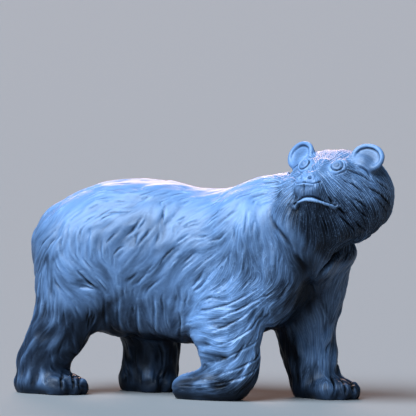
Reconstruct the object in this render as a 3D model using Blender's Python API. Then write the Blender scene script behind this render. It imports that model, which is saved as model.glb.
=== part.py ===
"""A carved black stone bear, walking, with its head turned back over its right shoulder and raised.

The carving is one solid piece. X runs forward along the spine, +Y is the bear's left and Z is up.
The pose is laid out in carving units, of which the whole figure is 190 long. Masses are lofted or
placed as ellipsoids, fused into one skin, softened where they meet, carved, and scaled to metres.
"""

import math

import bmesh
import bpy
import numpy as np
from mathutils import Matrix, Vector
from mathutils.kdtree import KDTree

# Driving size: the whole carving, from the rump to the far cheek, in metres.
BEAR_LENGTH = 0.190
UNITS_LONG = 190.0

# The way the hair lies on the bear's right side, in carving units: place, then direction.
# The left side takes the mirror image.
COMB = [
    ((-85, -4, 86), (-0.3, -0.1, -1)), ((-70, -6, 100), (-0.9, -0.2, -0.4)),
    ((-40, -6, 108), (-0.9, -0.4, -0.1)), ((-10, -6, 105), (-0.9, -0.4, -0.1)),
    ((15, -6, 106), (-0.9, -0.5, -0.1)), ((38, -6, 111), (-0.8, -0.6, 0.0)),
    ((-78, -22, 80), (-0.4, 0, -0.9)), ((-55, -28, 92), (-0.7, 0, -0.7)),
    ((-30, -30, 90), (-0.7, 0, -0.7)), ((-8, -30, 88), (-0.7, 0, -0.7)),
    ((12, -30, 90), (-0.5, 0, -0.85)), ((32, -30, 90), (-0.1, 0, -1)),
    ((-50, -32, 70), (-0.35, 0, -0.95)), ((-28, -32, 70), (-0.55, 0, -0.85)),
    ((-8, -32, 66), (-0.6, 0, -0.8)), ((10, -34, 66), (-0.65, 0, -0.75)),
    ((25, -34, 68), (-0.3, 0, -0.95)), ((40, -32, 64), (0.05, 0, -1)),
    ((-45, -30, 45), (-0.1, 0, -1)), ((-20, -30, 45), (-0.15, 0, -1)),
    ((-5, -30, 48), (-0.6, 0, -0.8)), ((42, -28, 45), (0.0, 0, -1)),
    ((-30, -10, 29), (0, -0.6, -0.7)), ((-10, -10, 27), (0, -0.6, -0.7)),
    ((-82, -20, 58), (0.1, 0, -1)), ((-64, -32, 60), (0.5, 0, -0.85)),
    ((-55, -30, 50), (0.4, 0, -0.9)), ((-68, -30, 42), (-0.2, 0, -1)),
    ((-78, -28, 28), (-0.4, 0, -0.9)), ((-80, -26, 14), (0.2, 0, -1)),
    ((-64, -24, 8), (1, 0, -0.2)), ((-88, -20, 35), (-0.3, 0, -0.95)),
    ((-38, -24, 40), (0.1, 0, -1)), ((-34, -26, 15), (0.2, 0, -1)),
    ((18, -36, 52), (-0.6, 0, -0.8)), ((5, -32, 50), (-0.85, 0, -0.55)),
    ((30, -34, 50), (-0.3, 0, -1)), ((14, -34, 36), (-0.8, 0, -0.55)),
    ((28, -33, 34), (-0.5, 0, -0.85)), ((26, -32, 18), (-0.6, 0, -0.8)),
    ((12, -32, 10), (-0.95, 0, -0.3)), ((0, -28, 7), (-1, 0, 0)),
    ((50, -26, 30), (0.1, 0, -1)), ((62, -24, 50), (-0.1, 0, -1)),
    ((54, -30, 15), (0.2, 0, -1)), ((66, -22, 8), (1, 0, -0.3)),
    ((44, -30, 92), (-0.1, 0, -1)), ((50, -32, 80), (0.3, 0, -1)),
    ((56, -30, 66), (0.8, 0, -0.7)), ((60, 0, 62), (0.2, 0, -1)),
    ((45, 0, 44), (0, 0, -1)), ((45, 0, 100), (-0.8, -0.4, 0.2)),
]
# Tufts of hair: spacing of their roots, length, half width and height.
TUFT_SPACING = 9.5
TUFT_LENGTH = (18, 32)
TUFT_HALF = (3.2, 5.0)
TUFT_HEIGHT = 1.3
SEED = 20

# Triangles left in the finished solid, and how freely they are taken from the head.
TRIANGLES = 9800
HEAD_THINNING = 0.5

# The skin is fused three times. Each time has its grid, in carving units, and the rounds of
# filling that soften the joints: first the trunk and legs, then with the head, mane and feet,
# then with the ears, nose and lip.
TRUNK_SKIN = (1.1, 70)
BODY_SKIN = (0.9, 16)
FINISHED_SKIN = (0.7, 5)
RING_POINTS = 40

# The stone: dark, faintly blue, with a satin polish.
STONE_COLOUR = (0.045, 0.055, 0.075, 1)
STONE_ROUGHNESS = 0.5

# Torso stations: x, height of the back, height of the belly, half width.
TORSO = [
    (-87.0, 83, 60, 9),
    (-84.0, 90, 49, 18),
    (-77.0, 95, 40, 26),
    (-66.0, 101, 32.5, 30),
    (-52.0, 106, 29, 32),
    (-36.0, 108.5, 27.5, 32.5),
    (-20.0, 107.5, 26, 32),
    (-6.0, 105, 25, 31),
    (6.0, 104.5, 26, 30),
    (18.0, 107, 30, 30),
    (30.0, 111.5, 32, 30),
    (42.0, 113, 37, 28),
    (53.0, 109, 46, 23),
    (60.0, 100, 54, 16),
]

# Leg stations: x, y, z, half depth fore and aft, half width.
NEAR_HIND_LEG = [
    (-62, -16, 62, 21, 14),
    (-64, -17, 48, 20, 14),
    (-69, -17.5, 34, 16, 13),
    (-75, -18, 23, 14, 12),
    (-79, -18, 14, 13.5, 11.5),
    (-79, -18, 4, 13, 11),
]
FAR_HIND_LEG = [
    (-44, 16, 62, 20, 14),
    (-40, 17, 46, 18.5, 14),
    (-35.5, 17.5, 33, 15.5, 13),
    (-33.5, 18, 23, 15, 12),
    (-34, 18, 12, 15, 12),
    (-34.5, 18, 4, 14.5, 11.5),
]
NEAR_FRONT_LEG = [
    (20, -17, 66, 22, 13),
    (18.5, -19, 50, 20.5, 13),
    (18.5, -20, 38, 20, 12.5),
    (20.5, -20.5, 27, 17, 12),
    (23, -20.5, 18, 13.5, 11.5),
    (20.5, -20, 9.8, 11.6, 11.8),
    (9, -19.5, 7.0, 9.4, 11.4),
    (0, -19, 5.6, 8.0, 10.2),
    (-5.5, -18.5, 4.8, 6.2, 8.4),
]
FAR_FRONT_LEG = [
    (55, 14, 68, 17, 14),
    (50, 16.5, 50, 17.5, 14),
    (47.5, 17.5, 38, 16.5, 13.5),
    (49, 18, 27, 15, 13),
    (51.5, 18, 16, 13.7, 12.5),
    (54, 18, 6, 13, 12),
]

# Feet that stand on their soles: heel place, length, half width, height, turn about Z in degrees.
FEET = {
    "near_hind": {"heel": (-93.3, -18), "length": 39, "half": 13, "height": 13, "turn": -4},
    "far_hind": {"heel": (-49.5, 18), "length": 31, "half": 13, "height": 13, "turn": -6},
    "far_front": {"heel": (42.0, 20), "length": 36.5, "half": 13.5, "height": 13, "turn": -16},
}
TOES = 5
TOE_LENGTH = 6.4
TOE_ARC = 0.2
TOE_CUT = (0.8, 1.1)

# Masses of the trunk: centre and half sizes along x, y and z.
TRUNK_MASSES = [
    ((26, -15, 78), (23, 17, 26)),
    ((57, 12, 70), (15.5, 15, 20)),
    ((-62, -14, 62), (22, 17.5, 30)),
    ((-46, 14, 60), (22, 17.5, 28)),
    ((-87, 1, 70), (4.5, 6, 11)),
    ((65, 8, 74), (12, 13, 10.5)),
]
NECK = [
    (40, 0, 83, 25, 28),
    (52, -1, 88, 24, 28),
    (60, -3, 95, 18, 23),
]
# Long hair that hangs over the near shoulder and ends in a hem in front of the leg.
DRAPE = [
    (46, -12, 84, 17, 17),
    (45, -17, 66, 13.5, 13),
    (43, -18.5, 53, 12, 11),
    (42, -18.5, 44, 9, 8.5),
    (42, -18.5, 40, 5, 5),
]
MANE = [
    ((56, -8, 87), (18.5, 26, 28)),
    ((60, -5, 74), (12, 19, 16)),
]

# The head's own frame: f forward along the muzzle, l to the bear's left, n up through the skull.
HEAD_CENTRE = (70.0, -5.0, 98.6)
HEAD_YAW = math.radians(-104)
HEAD_PITCH = math.radians(25)
# Head stations: f, height n of the widest level, half width, rise above it, drop below it.
HEAD = [
    (-24, 5, 13, 9, 9),
    (-19, 5, 20.5, 15, 14),
    (-11, 4, 26.0, 19.5, 22),
    (-3, 4, 28.2, 21.5, 25.5),
    (4, 2, 27.5, 24.5, 28),
    (10, 0, 24.5, 25, 26),
    (15, -1.5, 20, 21.8, 22.5),
    (18.3, -2.5, 16.3, 19, 19),
    (21.2, -3.5, 13.8, 16.4, 15.5),
    (23.5, -4, 11.6, 13.8, 12.5),
    (26, -4, 9.6, 11, 10),
    (28.8, -3.5, 8.2, 8, 7.5),
    (31.3, -3, 7.0, 5.3, 6),
    (32.6, -2, 5.2, 2.6, 3),
]
JAW_TAPER = 0.12
CROWN_SQUARE = 0.82
HEAD_MASSES = [
    ((17, 9.5, 11), (5.8, 6, 5.5)),
    ((17, -9.5, 11), (5.8, 6, 5.5)),
    ((7.5, 15.5, 16), (8, 8, 8)),
    ((7.5, -15.5, 16), (8, 8, 8)),
]
# Ears: an oval plate with a rim round it, on a swelling behind. Its half sizes are across and up.
# The right ear mirrors this left one.
EAR_PLACE = (12.2, 19.3, 19.9)
EAR_TURN = 16
EAR_HALF = (8.7, 7.7)
EAR_RIM = 1.5
EAR_PLATE = 1.7
EAR_PLATE_SET_BACK = 1.6
EAR_ROOT = ((-5.0, -2.0, -4.0), (5.0, 5.5, 6.5))
EYE_PLACE = (22.6, 9.6, 11.3)
EYE_LOOK = (0.93, 0.26, 0.26)
# Rings of the eye, outward from its middle: radius, height over the skin.
EYE_RINGS = [
    (0, 0.8), (1.6, 0.6), (2.5, 0.0), (3.0, -0.5), (3.7, 0.35), (4.5, 0.1), (5.6, 0),
]
NOSE = ((31.5, 0, -1.3), (2.3, 4.8, 3.1))
LOWER_LIP = [
    (17.0, -14.4, -10.4),
    (21.2, -11.8, -11.0),
    (25.6, -7.9, -11.5),
    (28.4, -4.4, -11.3),
    (29.2, -0.8, -10.6),
    (28.9, 2.9, -10.3),
    (25.6, 7.8, -10.0),
    (21.0, 12.2, -9.8),
    (17.2, 14.9, -9.7),
]
LIP_HALF = 1.25
# Cuts in the face: points in the head's frame, half width, depth.
MOUTH_CUT = ([(f + 0.4, l, n + 1.8) for f, l, n in LOWER_LIP], 0.8, 0.9)
PHILTRUM_CUT = ([(33.0, 0, -4.0), (31.5, 0, -7.0), (29.3, 0, -10.5)], 0.6, 0.7)
NOSE_CUT = ([(29.5, -5.6, -0.5), (31.5, -4.6, -4.2), (32.6, 0, -5.2), (31.5, 4.6, -4.2),
             (29.5, 5.6, -0.5)], 0.7, 0.55)
NOSTRIL_CUTS = [([(33.5, 2.3 * side, -0.6), (32.6, 3.2 * side, -1.6)], 0.85, 1.2) for side in (1, -1)]


def head_matrix():
    """Turns head coordinates f, l, n into carving units."""
    forward = Vector((math.cos(HEAD_YAW), math.sin(HEAD_YAW), 0))
    left = Vector((-forward.y, forward.x, 0))
    muzzle = forward * math.cos(HEAD_PITCH) + Vector((0, 0, math.sin(HEAD_PITCH)))
    up = muzzle.cross(left)
    turn = Matrix((muzzle, left, up)).transposed().to_4x4()
    return Matrix.Translation(HEAD_CENTRE) @ turn


def smooth_stations(stations, steps=6):
    """More stations between the given ones, on a Catmull-Rom curve through them."""
    rows = np.array(stations, float)
    padded = np.vstack([2 * rows[0] - rows[1], rows, 2 * rows[-1] - rows[-2]])
    made = []
    for k in range(1, len(padded) - 2):
        a, b, c, d = padded[k - 1 : k + 3]
        for t in np.arange(steps) / steps:
            made.append(
                0.5 * (2 * b + (c - a) * t + (2 * a - 5 * b + 4 * c - d) * t**2
                       + (3 * b - a - 3 * c + d) * t**3)
            )
    made.append(rows[-1])
    return np.array(made)


def add_loft(mesh, rings):
    """A closed tube through rings of points, its ends closed by domes of shrinking rings."""
    loops = [[mesh.verts.new(p) for p in ring] for ring in rings]
    for low, high in zip(loops, loops[1:]):
        for k in range(len(low)):
            n = (k + 1) % len(low)
            mesh.faces.new((low[k], low[n], high[n], high[k]))
    mesh.faces.new(list(reversed(loops[0])))
    mesh.faces.new(loops[-1])


def ellipse(centre, across, up, half_across, half_up):
    """The points of one elliptical ring."""
    turns = np.linspace(0, 2 * math.pi, RING_POINTS, endpoint=False)
    return [
        centre + across * (half_across * math.cos(t)) + up * (half_up * math.sin(t))
        for t in turns
    ]


def domed(rings, swell=0.55):
    """The rings with a dome added at each end, as deep as a share of the end ring's size."""

    def cap(ring, beyond):
        middle = sum(ring, Vector()) / len(ring)
        out = (middle - beyond).normalized()
        size = min((p - middle).length for p in ring)
        return [
            [middle + (p - middle) * math.cos(a) + out * (swell * size * math.sin(a)) for p in ring]
            for a in (math.radians(d) for d in (25, 50, 70, 84))
        ]

    centres = [sum(r, Vector()) / len(r) for r in rings]
    return list(reversed(cap(rings[0], centres[1]))) + rings + cap(rings[-1], centres[-2])


def torso(mesh):
    rings = []
    for x, top, bottom, half in smooth_stations(TORSO):
        centre = Vector((x, 0, (top + bottom) / 2))
        rings.append(ellipse(centre, Vector((0, 1, 0)), Vector((0, 0, 1)), half, (top - bottom) / 2))
    add_loft(mesh, domed(rings))


def limb(mesh, stations):
    """A leg or neck: rings square to the path, half sizes given in and across the path's plane."""
    rows = smooth_stations(stations)
    points = [Vector(r[:3]) for r in rows]
    rings = []
    for k, row in enumerate(rows):
        along = (points[min(k + 1, len(points) - 1)] - points[max(k - 1, 0)]).normalized()
        side = Vector((0, 1, 0))
        side = (side - along * side.dot(along)).normalized()
        fore = side.cross(along)
        rings.append(ellipse(points[k], fore, side, row[3], row[4]))
    add_loft(mesh, domed(rings))


def ball(mesh, centre, half, frame=None):
    """An ellipsoid with its axes along those of frame."""
    size = Matrix.Diagonal((*half, 1))
    place = Matrix.Translation(centre) @ size
    bmesh.ops.create_icosphere(
        mesh, subdivisions=4, radius=1.0, matrix=(frame or Matrix()) @ place
    )


def foot(mesh, heel, length, half, height, turn):
    """A paw: a low rounded block from heel to toes, and a row of toes on its front edge."""
    frame = Matrix.Translation((heel[0], heel[1], 0)) @ Matrix.Rotation(math.radians(turn), 4, "Z")
    ball(mesh, (length * 0.34, 0, height * 0.42), (length * 0.36, half * 0.86, height * 0.75), frame)
    ball(mesh, (length * 0.58, 0, height * 0.36), (length * 0.36, half * 0.98, height * 0.55), frame)
    toe_half = half / TOES * 1.14
    for k in range(TOES):
        share = (k - (TOES - 1) / 2) / ((TOES - 1) / 2)
        reach = length - TOE_LENGTH * 0.75 - TOE_ARC * length * share * share
        centre = (reach, share * (half - toe_half), height * 0.30)
        ball(mesh, centre, (TOE_LENGTH, toe_half, height * 0.44), frame)


def head(mesh):
    """The head and ruff: rings square to the muzzle's axis, narrowing toward the nose."""
    frame = head_matrix()
    rings = []
    for f, level, half, rise, drop in smooth_stations(HEAD, 4):
        ring = []
        for t in np.linspace(0, 2 * math.pi, RING_POINTS, endpoint=False):
            c, s = math.cos(t), math.sin(t)
            if s > 0:
                c = math.copysign(abs(c) ** CROWN_SQUARE, c)
                s = s**CROWN_SQUARE
            else:
                c *= 1 - JAW_TAPER * s * s
            ring.append(frame @ Vector((f, half * c, level + (rise if s > 0 else drop) * s)))
        rings.append(list(reversed(ring)))
    add_loft(mesh, domed(rings, 0.4))
    for centre, half in HEAD_MASSES:
        ball(mesh, centre, half, frame)


def tube(mesh, points, radius, frame, closed=False):
    """A round bead along a path given in the frame's coordinates."""
    path = smooth_stations(points, 4) if not closed else np.array(points)
    path = [frame @ Vector(p) for p in path]
    count = len(path)
    rings = []
    for k in range(count):
        if closed:
            along = path[(k + 1) % count] - path[k - 1]
        else:
            along = path[min(k + 1, count - 1)] - path[max(k - 1, 0)]
        along.normalize()
        across = along.cross(frame.to_3x3() @ Vector((1, 0, 0.2))).normalized()
        ring = ellipse(path[k], across, along.cross(across), radius, radius)
        rings.append(ring[::4])
    if closed:
        loops = [[mesh.verts.new(p) for p in ring] for ring in rings]
        for low, high in zip(loops, loops[1:] + loops[:1]):
            for k in range(len(low)):
                n = (k + 1) % len(low)
                mesh.faces.new((low[k], high[k], high[n], low[n]))
    else:
        add_loft(mesh, domed([list(reversed(r)) for r in rings]))


def face_features(mesh):
    """Ears with raised rims, the nose pad and the lower lip."""
    frame = head_matrix()
    for side in (1, -1):
        f, l, n = EAR_PLACE
        place = frame @ Matrix.Translation((f, l * side, n))
        place = place @ Matrix.Rotation(math.radians(EAR_TURN) * side, 4, "Z")
        turns = np.linspace(0, 2 * math.pi, 36, endpoint=False)
        wide, high = [half - EAR_RIM for half in EAR_HALF]
        oval = [(0, wide * math.cos(t), high * math.sin(t)) for t in turns]
        tube(mesh, oval, EAR_RIM, place, True)
        lap = EAR_RIM * 0.4
        ball(mesh, (-EAR_PLATE_SET_BACK, 0, 0), (EAR_PLATE, wide + lap, high + lap), place)
        (back, out, down), half = EAR_ROOT
        ball(mesh, (back, out * side, down), half, place)
    ball(mesh, *NOSE, frame)
    tube(mesh, LOWER_LIP, LIP_HALF, frame)


def object_from(name, fill):
    mesh = bmesh.new()
    fill(mesh)
    bmesh.ops.triangulate(mesh, faces=[f for f in mesh.faces if len(f.verts) > 4])
    data = bpy.data.meshes.new(name)
    mesh.to_mesh(data)
    mesh.free()
    made = bpy.data.objects.new(name, data)
    bpy.context.scene.collection.objects.link(made)
    return made


def apply_modifiers(thing):
    """Replaces the object's mesh by what its modifiers make of it."""
    graph = bpy.context.evaluated_depsgraph_get()
    graph.update()
    data = bpy.data.meshes.new_from_object(thing.evaluated_get(graph))
    thing.modifiers.clear()
    thing.data = data


def fuse(thing, grid):
    remesh = thing.modifiers.new("fuse", "REMESH")
    remesh.mode = "VOXEL"
    remesh.voxel_size = grid
    apply_modifiers(thing)


def trunk_forms(mesh):
    torso(mesh)
    for stations in (NEAR_HIND_LEG, FAR_HIND_LEG, NEAR_FRONT_LEG, FAR_FRONT_LEG, NECK):
        limb(mesh, stations)
    for centre, half in TRUNK_MASSES:
        ball(mesh, centre, half)


def hair_and_head(mesh):
    limb(mesh, DRAPE)
    for centre, half in MANE:
        ball(mesh, centre, half)
    head(mesh)
    for sizes in FEET.values():
        foot(mesh, **sizes)


class Skin:
    """The fused skin's points and edges as arrays, so that carving can move all points at once."""

    def __init__(self, thing):
        self.data = thing.data
        self.points = np.empty((len(self.data.vertices), 3))
        self.data.vertices.foreach_get("co", self.points.reshape(-1))
        self.edges = np.empty((len(self.data.edges), 2), int)
        self.data.edges.foreach_get("vertices", self.edges.reshape(-1))
        self.degree = np.bincount(self.edges.reshape(-1), minlength=len(self.points))

    def normals(self):
        self.store()
        found = np.empty((len(self.points), 3))
        self.data.vertex_normals.foreach_get("vector", found.reshape(-1))
        return found

    def pull(self, values=None):
        """How far each point lies from the middle of its neighbours."""
        values = self.points if values is None else values
        a, b = self.edges.T
        total = np.empty_like(values)
        for k in range(values.shape[1]):
            total[:, k] = np.bincount(a, values[b, k], len(values)) + np.bincount(
                b, values[a, k], len(values)
            )
        return total / self.degree[:, None] - values

    def even(self, rounds):
        """Takes out the grid's steps without shrinking the form."""
        for _ in range(rounds):
            self.points += 0.55 * self.pull()
            self.points -= 0.57 * self.pull()

    def fill_hollows(self, rounds):
        """Rounds the creases where masses meet, by moving points outward only."""
        for k in range(rounds):
            if k % 4 == 0:
                normals = self.normals()
            lift = (self.pull() * normals).sum(1, keepdims=True)
            self.points += 0.6 * np.clip(lift, 0, None) * normals
            if k % 4 == 3:
                self.even(1)

    def store(self):
        self.data.vertices.foreach_set("co", self.points.reshape(-1))
        self.data.update()


def build():
    for old in list(bpy.data.objects):
        bpy.data.objects.remove(old)
    bear = object_from("polar_bear", trunk_forms)
    shape(bear, *TRUNK_SKIN)
    merge(bear, object_from("head", hair_and_head))
    shape(bear, *BODY_SKIN)
    merge(bear, object_from("features", face_features))
    skin = shape(bear, *FINISHED_SKIN)
    cut_tufts(skin, np.random.default_rng(SEED))
    cut_face(skin)
    cut_toes(skin)
    skin.store()
    thin(bear, TRIANGLES)
    stand(bear)
    centre_and_scale(bear)
    bear.data.materials.append(stone())
    return bear


def stone():
    made = bpy.data.materials.new("black_stone")
    made.use_nodes = True
    shader = made.node_tree.nodes["Principled BSDF"]
    shader.inputs["Base Color"].default_value = STONE_COLOUR
    shader.inputs["Roughness"].default_value = STONE_ROUGHNESS
    shader.inputs["Metallic"].default_value = 0.0
    return made


def thin(thing, triangles):
    """Fewer, larger triangles, spent where the form bends."""
    points = np.empty((len(thing.data.vertices), 3))
    thing.data.vertices.foreach_get("co", points.reshape(-1))
    freely = 1 - HEAD_THINNING * head_share(in_head(points))
    group = thing.vertex_groups.new(name="freely")
    for level in np.unique(np.round(freely, 1)):
        group.add(np.nonzero(np.round(freely, 1) == level)[0].tolist(), level, "REPLACE")
    less = thing.modifiers.new("thin", "DECIMATE")
    less.ratio = triangles / (2 * len(thing.data.polygons))
    less.use_collapse_triangulate = True
    less.vertex_group = "freely"
    less.vertex_group_factor = 1.0
    apply_modifiers(thing)


def centre_and_scale(thing):
    """Puts the middle of the figure's box over the origin and turns carving units into metres."""
    corners = np.array([v.co[:] for v in thing.data.vertices])
    middle = (corners.min(0) + corners.max(0)) / 2
    scale = BEAR_LENGTH / np.ptp(corners[:, 0])
    move = Matrix.Translation((-middle[0], -middle[1], 0))
    thing.data.transform(Matrix.Scale(scale, 4) @ move)


def comb(points, normals):
    """The lie of the hair at each point: a blend of the guide arrows, away from the nose on the
    head, laid flat on the surface and made a little wavy."""
    places, ways = [], []
    for place, way in COMB:
        for side in (1, -1):
            places.append((place[0], place[1] * side, place[2]))
            ways.append((way[0], way[1] * side, way[2]))
    places, ways = np.array(places, float), np.array(ways, float)
    ways /= np.linalg.norm(ways, axis=1)[:, None]
    flow = np.zeros_like(points)
    for place, way in zip(places, ways):
        reach = ((points - place) ** 2).sum(1) + 16.0
        flow += way * (reach**-2.0)[:, None]
    flow /= np.linalg.norm(flow, axis=1)[:, None] + 1e-12
    inside = in_head(points)
    away = inside - np.array((27.0, 0.0, 3.0))
    away /= np.linalg.norm(away, axis=1)[:, None]
    back = np.array(head_matrix().to_3x3())
    away = away @ back.T
    away[:, 2] -= 0.35 * np.clip((20 - inside[:, 0]) / 30, 0, 1)
    flow += away * (4.0 * head_share(inside))[:, None]
    x, y, z = points.T
    wave = 0.32 * np.sin(x / 7.1 + y / 9.0) + 0.3 * np.sin(z / 8.3 - x / 11.0 + 2.0)
    flow += np.cross(normals, flow) * wave[:, None]
    flow -= normals * (flow * normals).sum(1, keepdims=True)
    return flow / (np.linalg.norm(flow, axis=1)[:, None] + 1e-12)


def in_head(points):
    """Carving points in the head's own frame."""
    turn = np.array(head_matrix().inverted())
    return points @ turn[:3, :3].T + turn[:3, 3]


def head_share(inside):
    """1 on the head and ruff, falling to 0 over the neck."""
    reach = np.linalg.norm((inside - (2.0, 0.0, 2.0)) / (30.0, 31.0, 28.0), axis=1)
    return np.clip((1.22 - reach) / 0.25, 0, 1)


def hair_share(points, inside):
    """How strongly tufts are cut: none on the face, ears, toes and soles."""
    share = np.clip((points[:, 2] - 12) / 8, 0, 1)
    face = np.clip((10 - inside[:, 0]) / 10, 0, 1)
    crown = np.clip((14 - inside[:, 2]) / 6, 0, 1)
    on_head = head_share(inside)
    return share * (1 - on_head + on_head * face * crown * 0.75)


def scattered(points, spacing, dice):
    """One point in each cell of a grid, picked by chance."""
    order = dice.permutation(len(points))
    cells = np.floor(points[order] / spacing + dice.random(3)).astype(int)
    _, first = np.unique(cells, axis=0, return_index=True)
    return order[first]


def follow(start, flow, points, tree, length, step):
    """The path of one hair over the skin, from its root."""
    path = [points[start]]
    here = start
    for _ in range(int(length / step)):
        ahead = points[here] + flow[here] * step
        _, here, _ = tree.find(ahead)
        path.append(points[here])
    return np.array(path)


def cut_tufts(skin, dice):
    """Overlapping pointed tufts that follow the comb, each rising toward its tip."""
    points, normals = skin.points, skin.normals()
    inside = in_head(points)
    flow = comb(points, normals)
    share = hair_share(points, inside)
    tree = KDTree(len(points))
    for k, p in enumerate(points):
        tree.insert(p, k)
    tree.balance()
    order = np.argsort(points[:, 0])
    along_x = points[order, 0]
    lift = np.zeros(len(points))
    for root in scattered(points, TUFT_SPACING, dice):
        if share[root] < 0.05:
            continue
        length = dice.uniform(*TUFT_LENGTH)
        half = dice.uniform(*TUFT_HALF)
        path = follow(root, flow, points, tree, length, 1.4)
        low, high = path[:, 0].min() - half, path[:, 0].max() + half
        near = order[np.searchsorted(along_x, low) : np.searchsorted(along_x, high)]
        box = (np.abs(points[near] - path.mean(0)) < np.ptp(path, 0) / 2 + half + 2).all(1)
        near = near[box]
        gaps = np.linalg.norm(points[near, None] - path[None], axis=2)
        nearest = gaps.argmin(1)
        s = nearest / (len(path) - 1)
        width = half * np.sin(np.pi * np.clip(s, 0.02, 0.995) ** 0.75) ** 0.55
        across = 1 - (gaps[np.arange(len(near)), nearest] / width) ** 2
        facing = (normals[near] * normals[root]).sum(1) > 0.1
        rise = (0.25 + 0.75 * s) * np.sqrt(np.clip(across, 0, 1)) * facing
        lift[near] = np.maximum(lift[near], rise * TUFT_HEIGHT * share[near])
    middle = 0.55 * TUFT_HEIGHT * share
    skin.points += normals * (lift - middle)[:, None]
    skin.even(2)


def cut(skin, normals, path, half, depth, frame=None):
    """A rounded groove of the given half width and depth along a path near the skin."""
    path = smooth_stations(path, 12)
    if frame is not None:
        path = path @ np.array(frame.to_3x3()).T + np.array(frame.translation)
    box = (skin.points > path.min(0) - 4).all(1) & (skin.points < path.max(0) + 4).all(1)
    near = np.nonzero(box)[0]
    gap = np.linalg.norm(skin.points[near, None] - path[None], axis=2).min(1)
    skin.points[near] -= normals[near] * (depth * np.exp(-((gap / half) ** 2)))[:, None]


def cut_face(skin):
    """Eyes with their lids, mouth, philtrum and nostrils."""
    frame = head_matrix()
    normals = skin.normals()
    for path, half, depth in (MOUTH_CUT, PHILTRUM_CUT, NOSE_CUT, *NOSTRIL_CUTS):
        cut(skin, normals, path, half, depth, frame)
    inside = in_head(skin.points)
    radii, heights = zip(*EYE_RINGS)
    for side in (1, -1):
        look = np.array(EYE_LOOK) * (1, side, 1)
        away = inside - np.array(EYE_PLACE) * (1, side, 1)
        along = away @ (look / np.linalg.norm(look))
        across = np.sqrt(np.clip((away**2).sum(1) - along**2, 0, None))
        height = np.interp(across, radii, heights) * (np.abs(along) < 6)
        skin.points += normals * height[:, None]


def cut_toes(skin):
    """Dark gaps between the toes."""
    normals = skin.normals()
    for sizes in FEET.values():
        heel, length, half, height = sizes["heel"], sizes["length"], sizes["half"], sizes["height"]
        turn = Matrix.Rotation(math.radians(sizes["turn"]), 4, "Z")
        frame = Matrix.Translation((heel[0], heel[1], 0)) @ turn
        for k in range(1, TOES):
            share = (k - TOES / 2) / ((TOES - 1) / 2)
            tip = length - TOE_ARC * length * share * share
            across = share * half * 0.83
            path = [(tip - 9.5, across, height * 0.86), (tip - 5, across, height * 0.72),
                    (tip - 1.5, across, height * 0.45), (tip - 1, across, 0)]
            cut(skin, normals, path, *TOE_CUT, frame)


def stand(thing):
    """Cuts the soles flat at the ground and closes them."""
    mesh = bmesh.new()
    mesh.from_mesh(thing.data)
    everything = mesh.verts[:] + mesh.edges[:] + mesh.faces[:]
    cut = bmesh.ops.bisect_plane(
        mesh, geom=everything, plane_co=(0, 0, 0), plane_no=(0, 0, 1), clear_inner=True
    )
    rim = [g for g in cut["geom_cut"] if isinstance(g, bmesh.types.BMEdge)]
    bmesh.ops.holes_fill(mesh, edges=rim, sides=0)
    mesh.to_mesh(thing.data)
    mesh.free()


def shape(thing, grid, fill):
    """Fuses overlapping masses into one skin and rounds the joints between them."""
    fuse(thing, grid)
    skin = Skin(thing)
    skin.even(3)
    skin.fill_hollows(fill)
    skin.even(2)
    skin.store()
    return skin


def merge(thing, other):
    """Joins the other object's mesh into the first one's."""
    mesh = bmesh.new()
    mesh.from_mesh(thing.data)
    mesh.from_mesh(other.data)
    mesh.to_mesh(thing.data)
    mesh.free()
    bpy.data.objects.remove(other)


build()
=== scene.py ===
"""The finished look of a carved black stone bear: cut fur, a satin surface and a soft studio.

The bear's own solid is copied, evened and fused with the ears, eyes and lip. Then it is cut all
over with hair: tufts, locks and streaks, strands, and the fine lines within a strand. Places on
the bear are in carving units, each two pixels of the picture. X runs forward along the spine, +Y
is the bear's left and Z is up.
"""

import math
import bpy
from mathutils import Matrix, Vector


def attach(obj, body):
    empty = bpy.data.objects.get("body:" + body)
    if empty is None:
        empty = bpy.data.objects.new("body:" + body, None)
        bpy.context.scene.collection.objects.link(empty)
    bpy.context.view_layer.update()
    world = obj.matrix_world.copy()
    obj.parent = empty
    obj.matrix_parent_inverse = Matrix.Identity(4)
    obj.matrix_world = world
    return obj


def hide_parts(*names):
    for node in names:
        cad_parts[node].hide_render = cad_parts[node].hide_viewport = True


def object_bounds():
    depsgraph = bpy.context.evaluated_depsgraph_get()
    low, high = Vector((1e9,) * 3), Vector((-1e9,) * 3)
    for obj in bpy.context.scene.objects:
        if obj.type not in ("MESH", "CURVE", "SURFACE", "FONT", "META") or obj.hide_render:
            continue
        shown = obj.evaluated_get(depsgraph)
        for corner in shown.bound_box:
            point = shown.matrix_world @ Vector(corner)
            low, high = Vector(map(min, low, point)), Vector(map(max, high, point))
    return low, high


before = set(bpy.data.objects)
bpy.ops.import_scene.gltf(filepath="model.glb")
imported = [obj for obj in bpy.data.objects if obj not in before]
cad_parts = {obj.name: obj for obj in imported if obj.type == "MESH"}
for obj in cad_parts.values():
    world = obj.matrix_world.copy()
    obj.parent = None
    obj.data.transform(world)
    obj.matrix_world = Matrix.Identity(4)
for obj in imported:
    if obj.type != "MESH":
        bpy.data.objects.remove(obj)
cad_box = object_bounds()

from types import SimpleNamespace

import bpy
import numpy as np
from mathutils import Matrix, Quaternion, Vector
from mathutils.bvhtree import BVHTree
from mathutils.kdtree import KDTree

# One carving unit in metres, and where the carving's own origin lies in the frame.
UNIT = 0.98797e-3
ORIGIN = (-0.002244, 0.001883, 0.0)

# The meshes: grid of the coarse skin on which the hair is laid out and of the fine skin that is
# cut, which is twice as fine on the head, and triangles left at the end.
COARSE_GRID = 0.95
GRID = 0.44
FINAL_TRIANGLES = 198000
SEED = 11
# The solid's loose triangles are merged within this gap, and then divided this many times.
MERGE_GAP = 0.002
SUBDIVISIONS = 2
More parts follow.
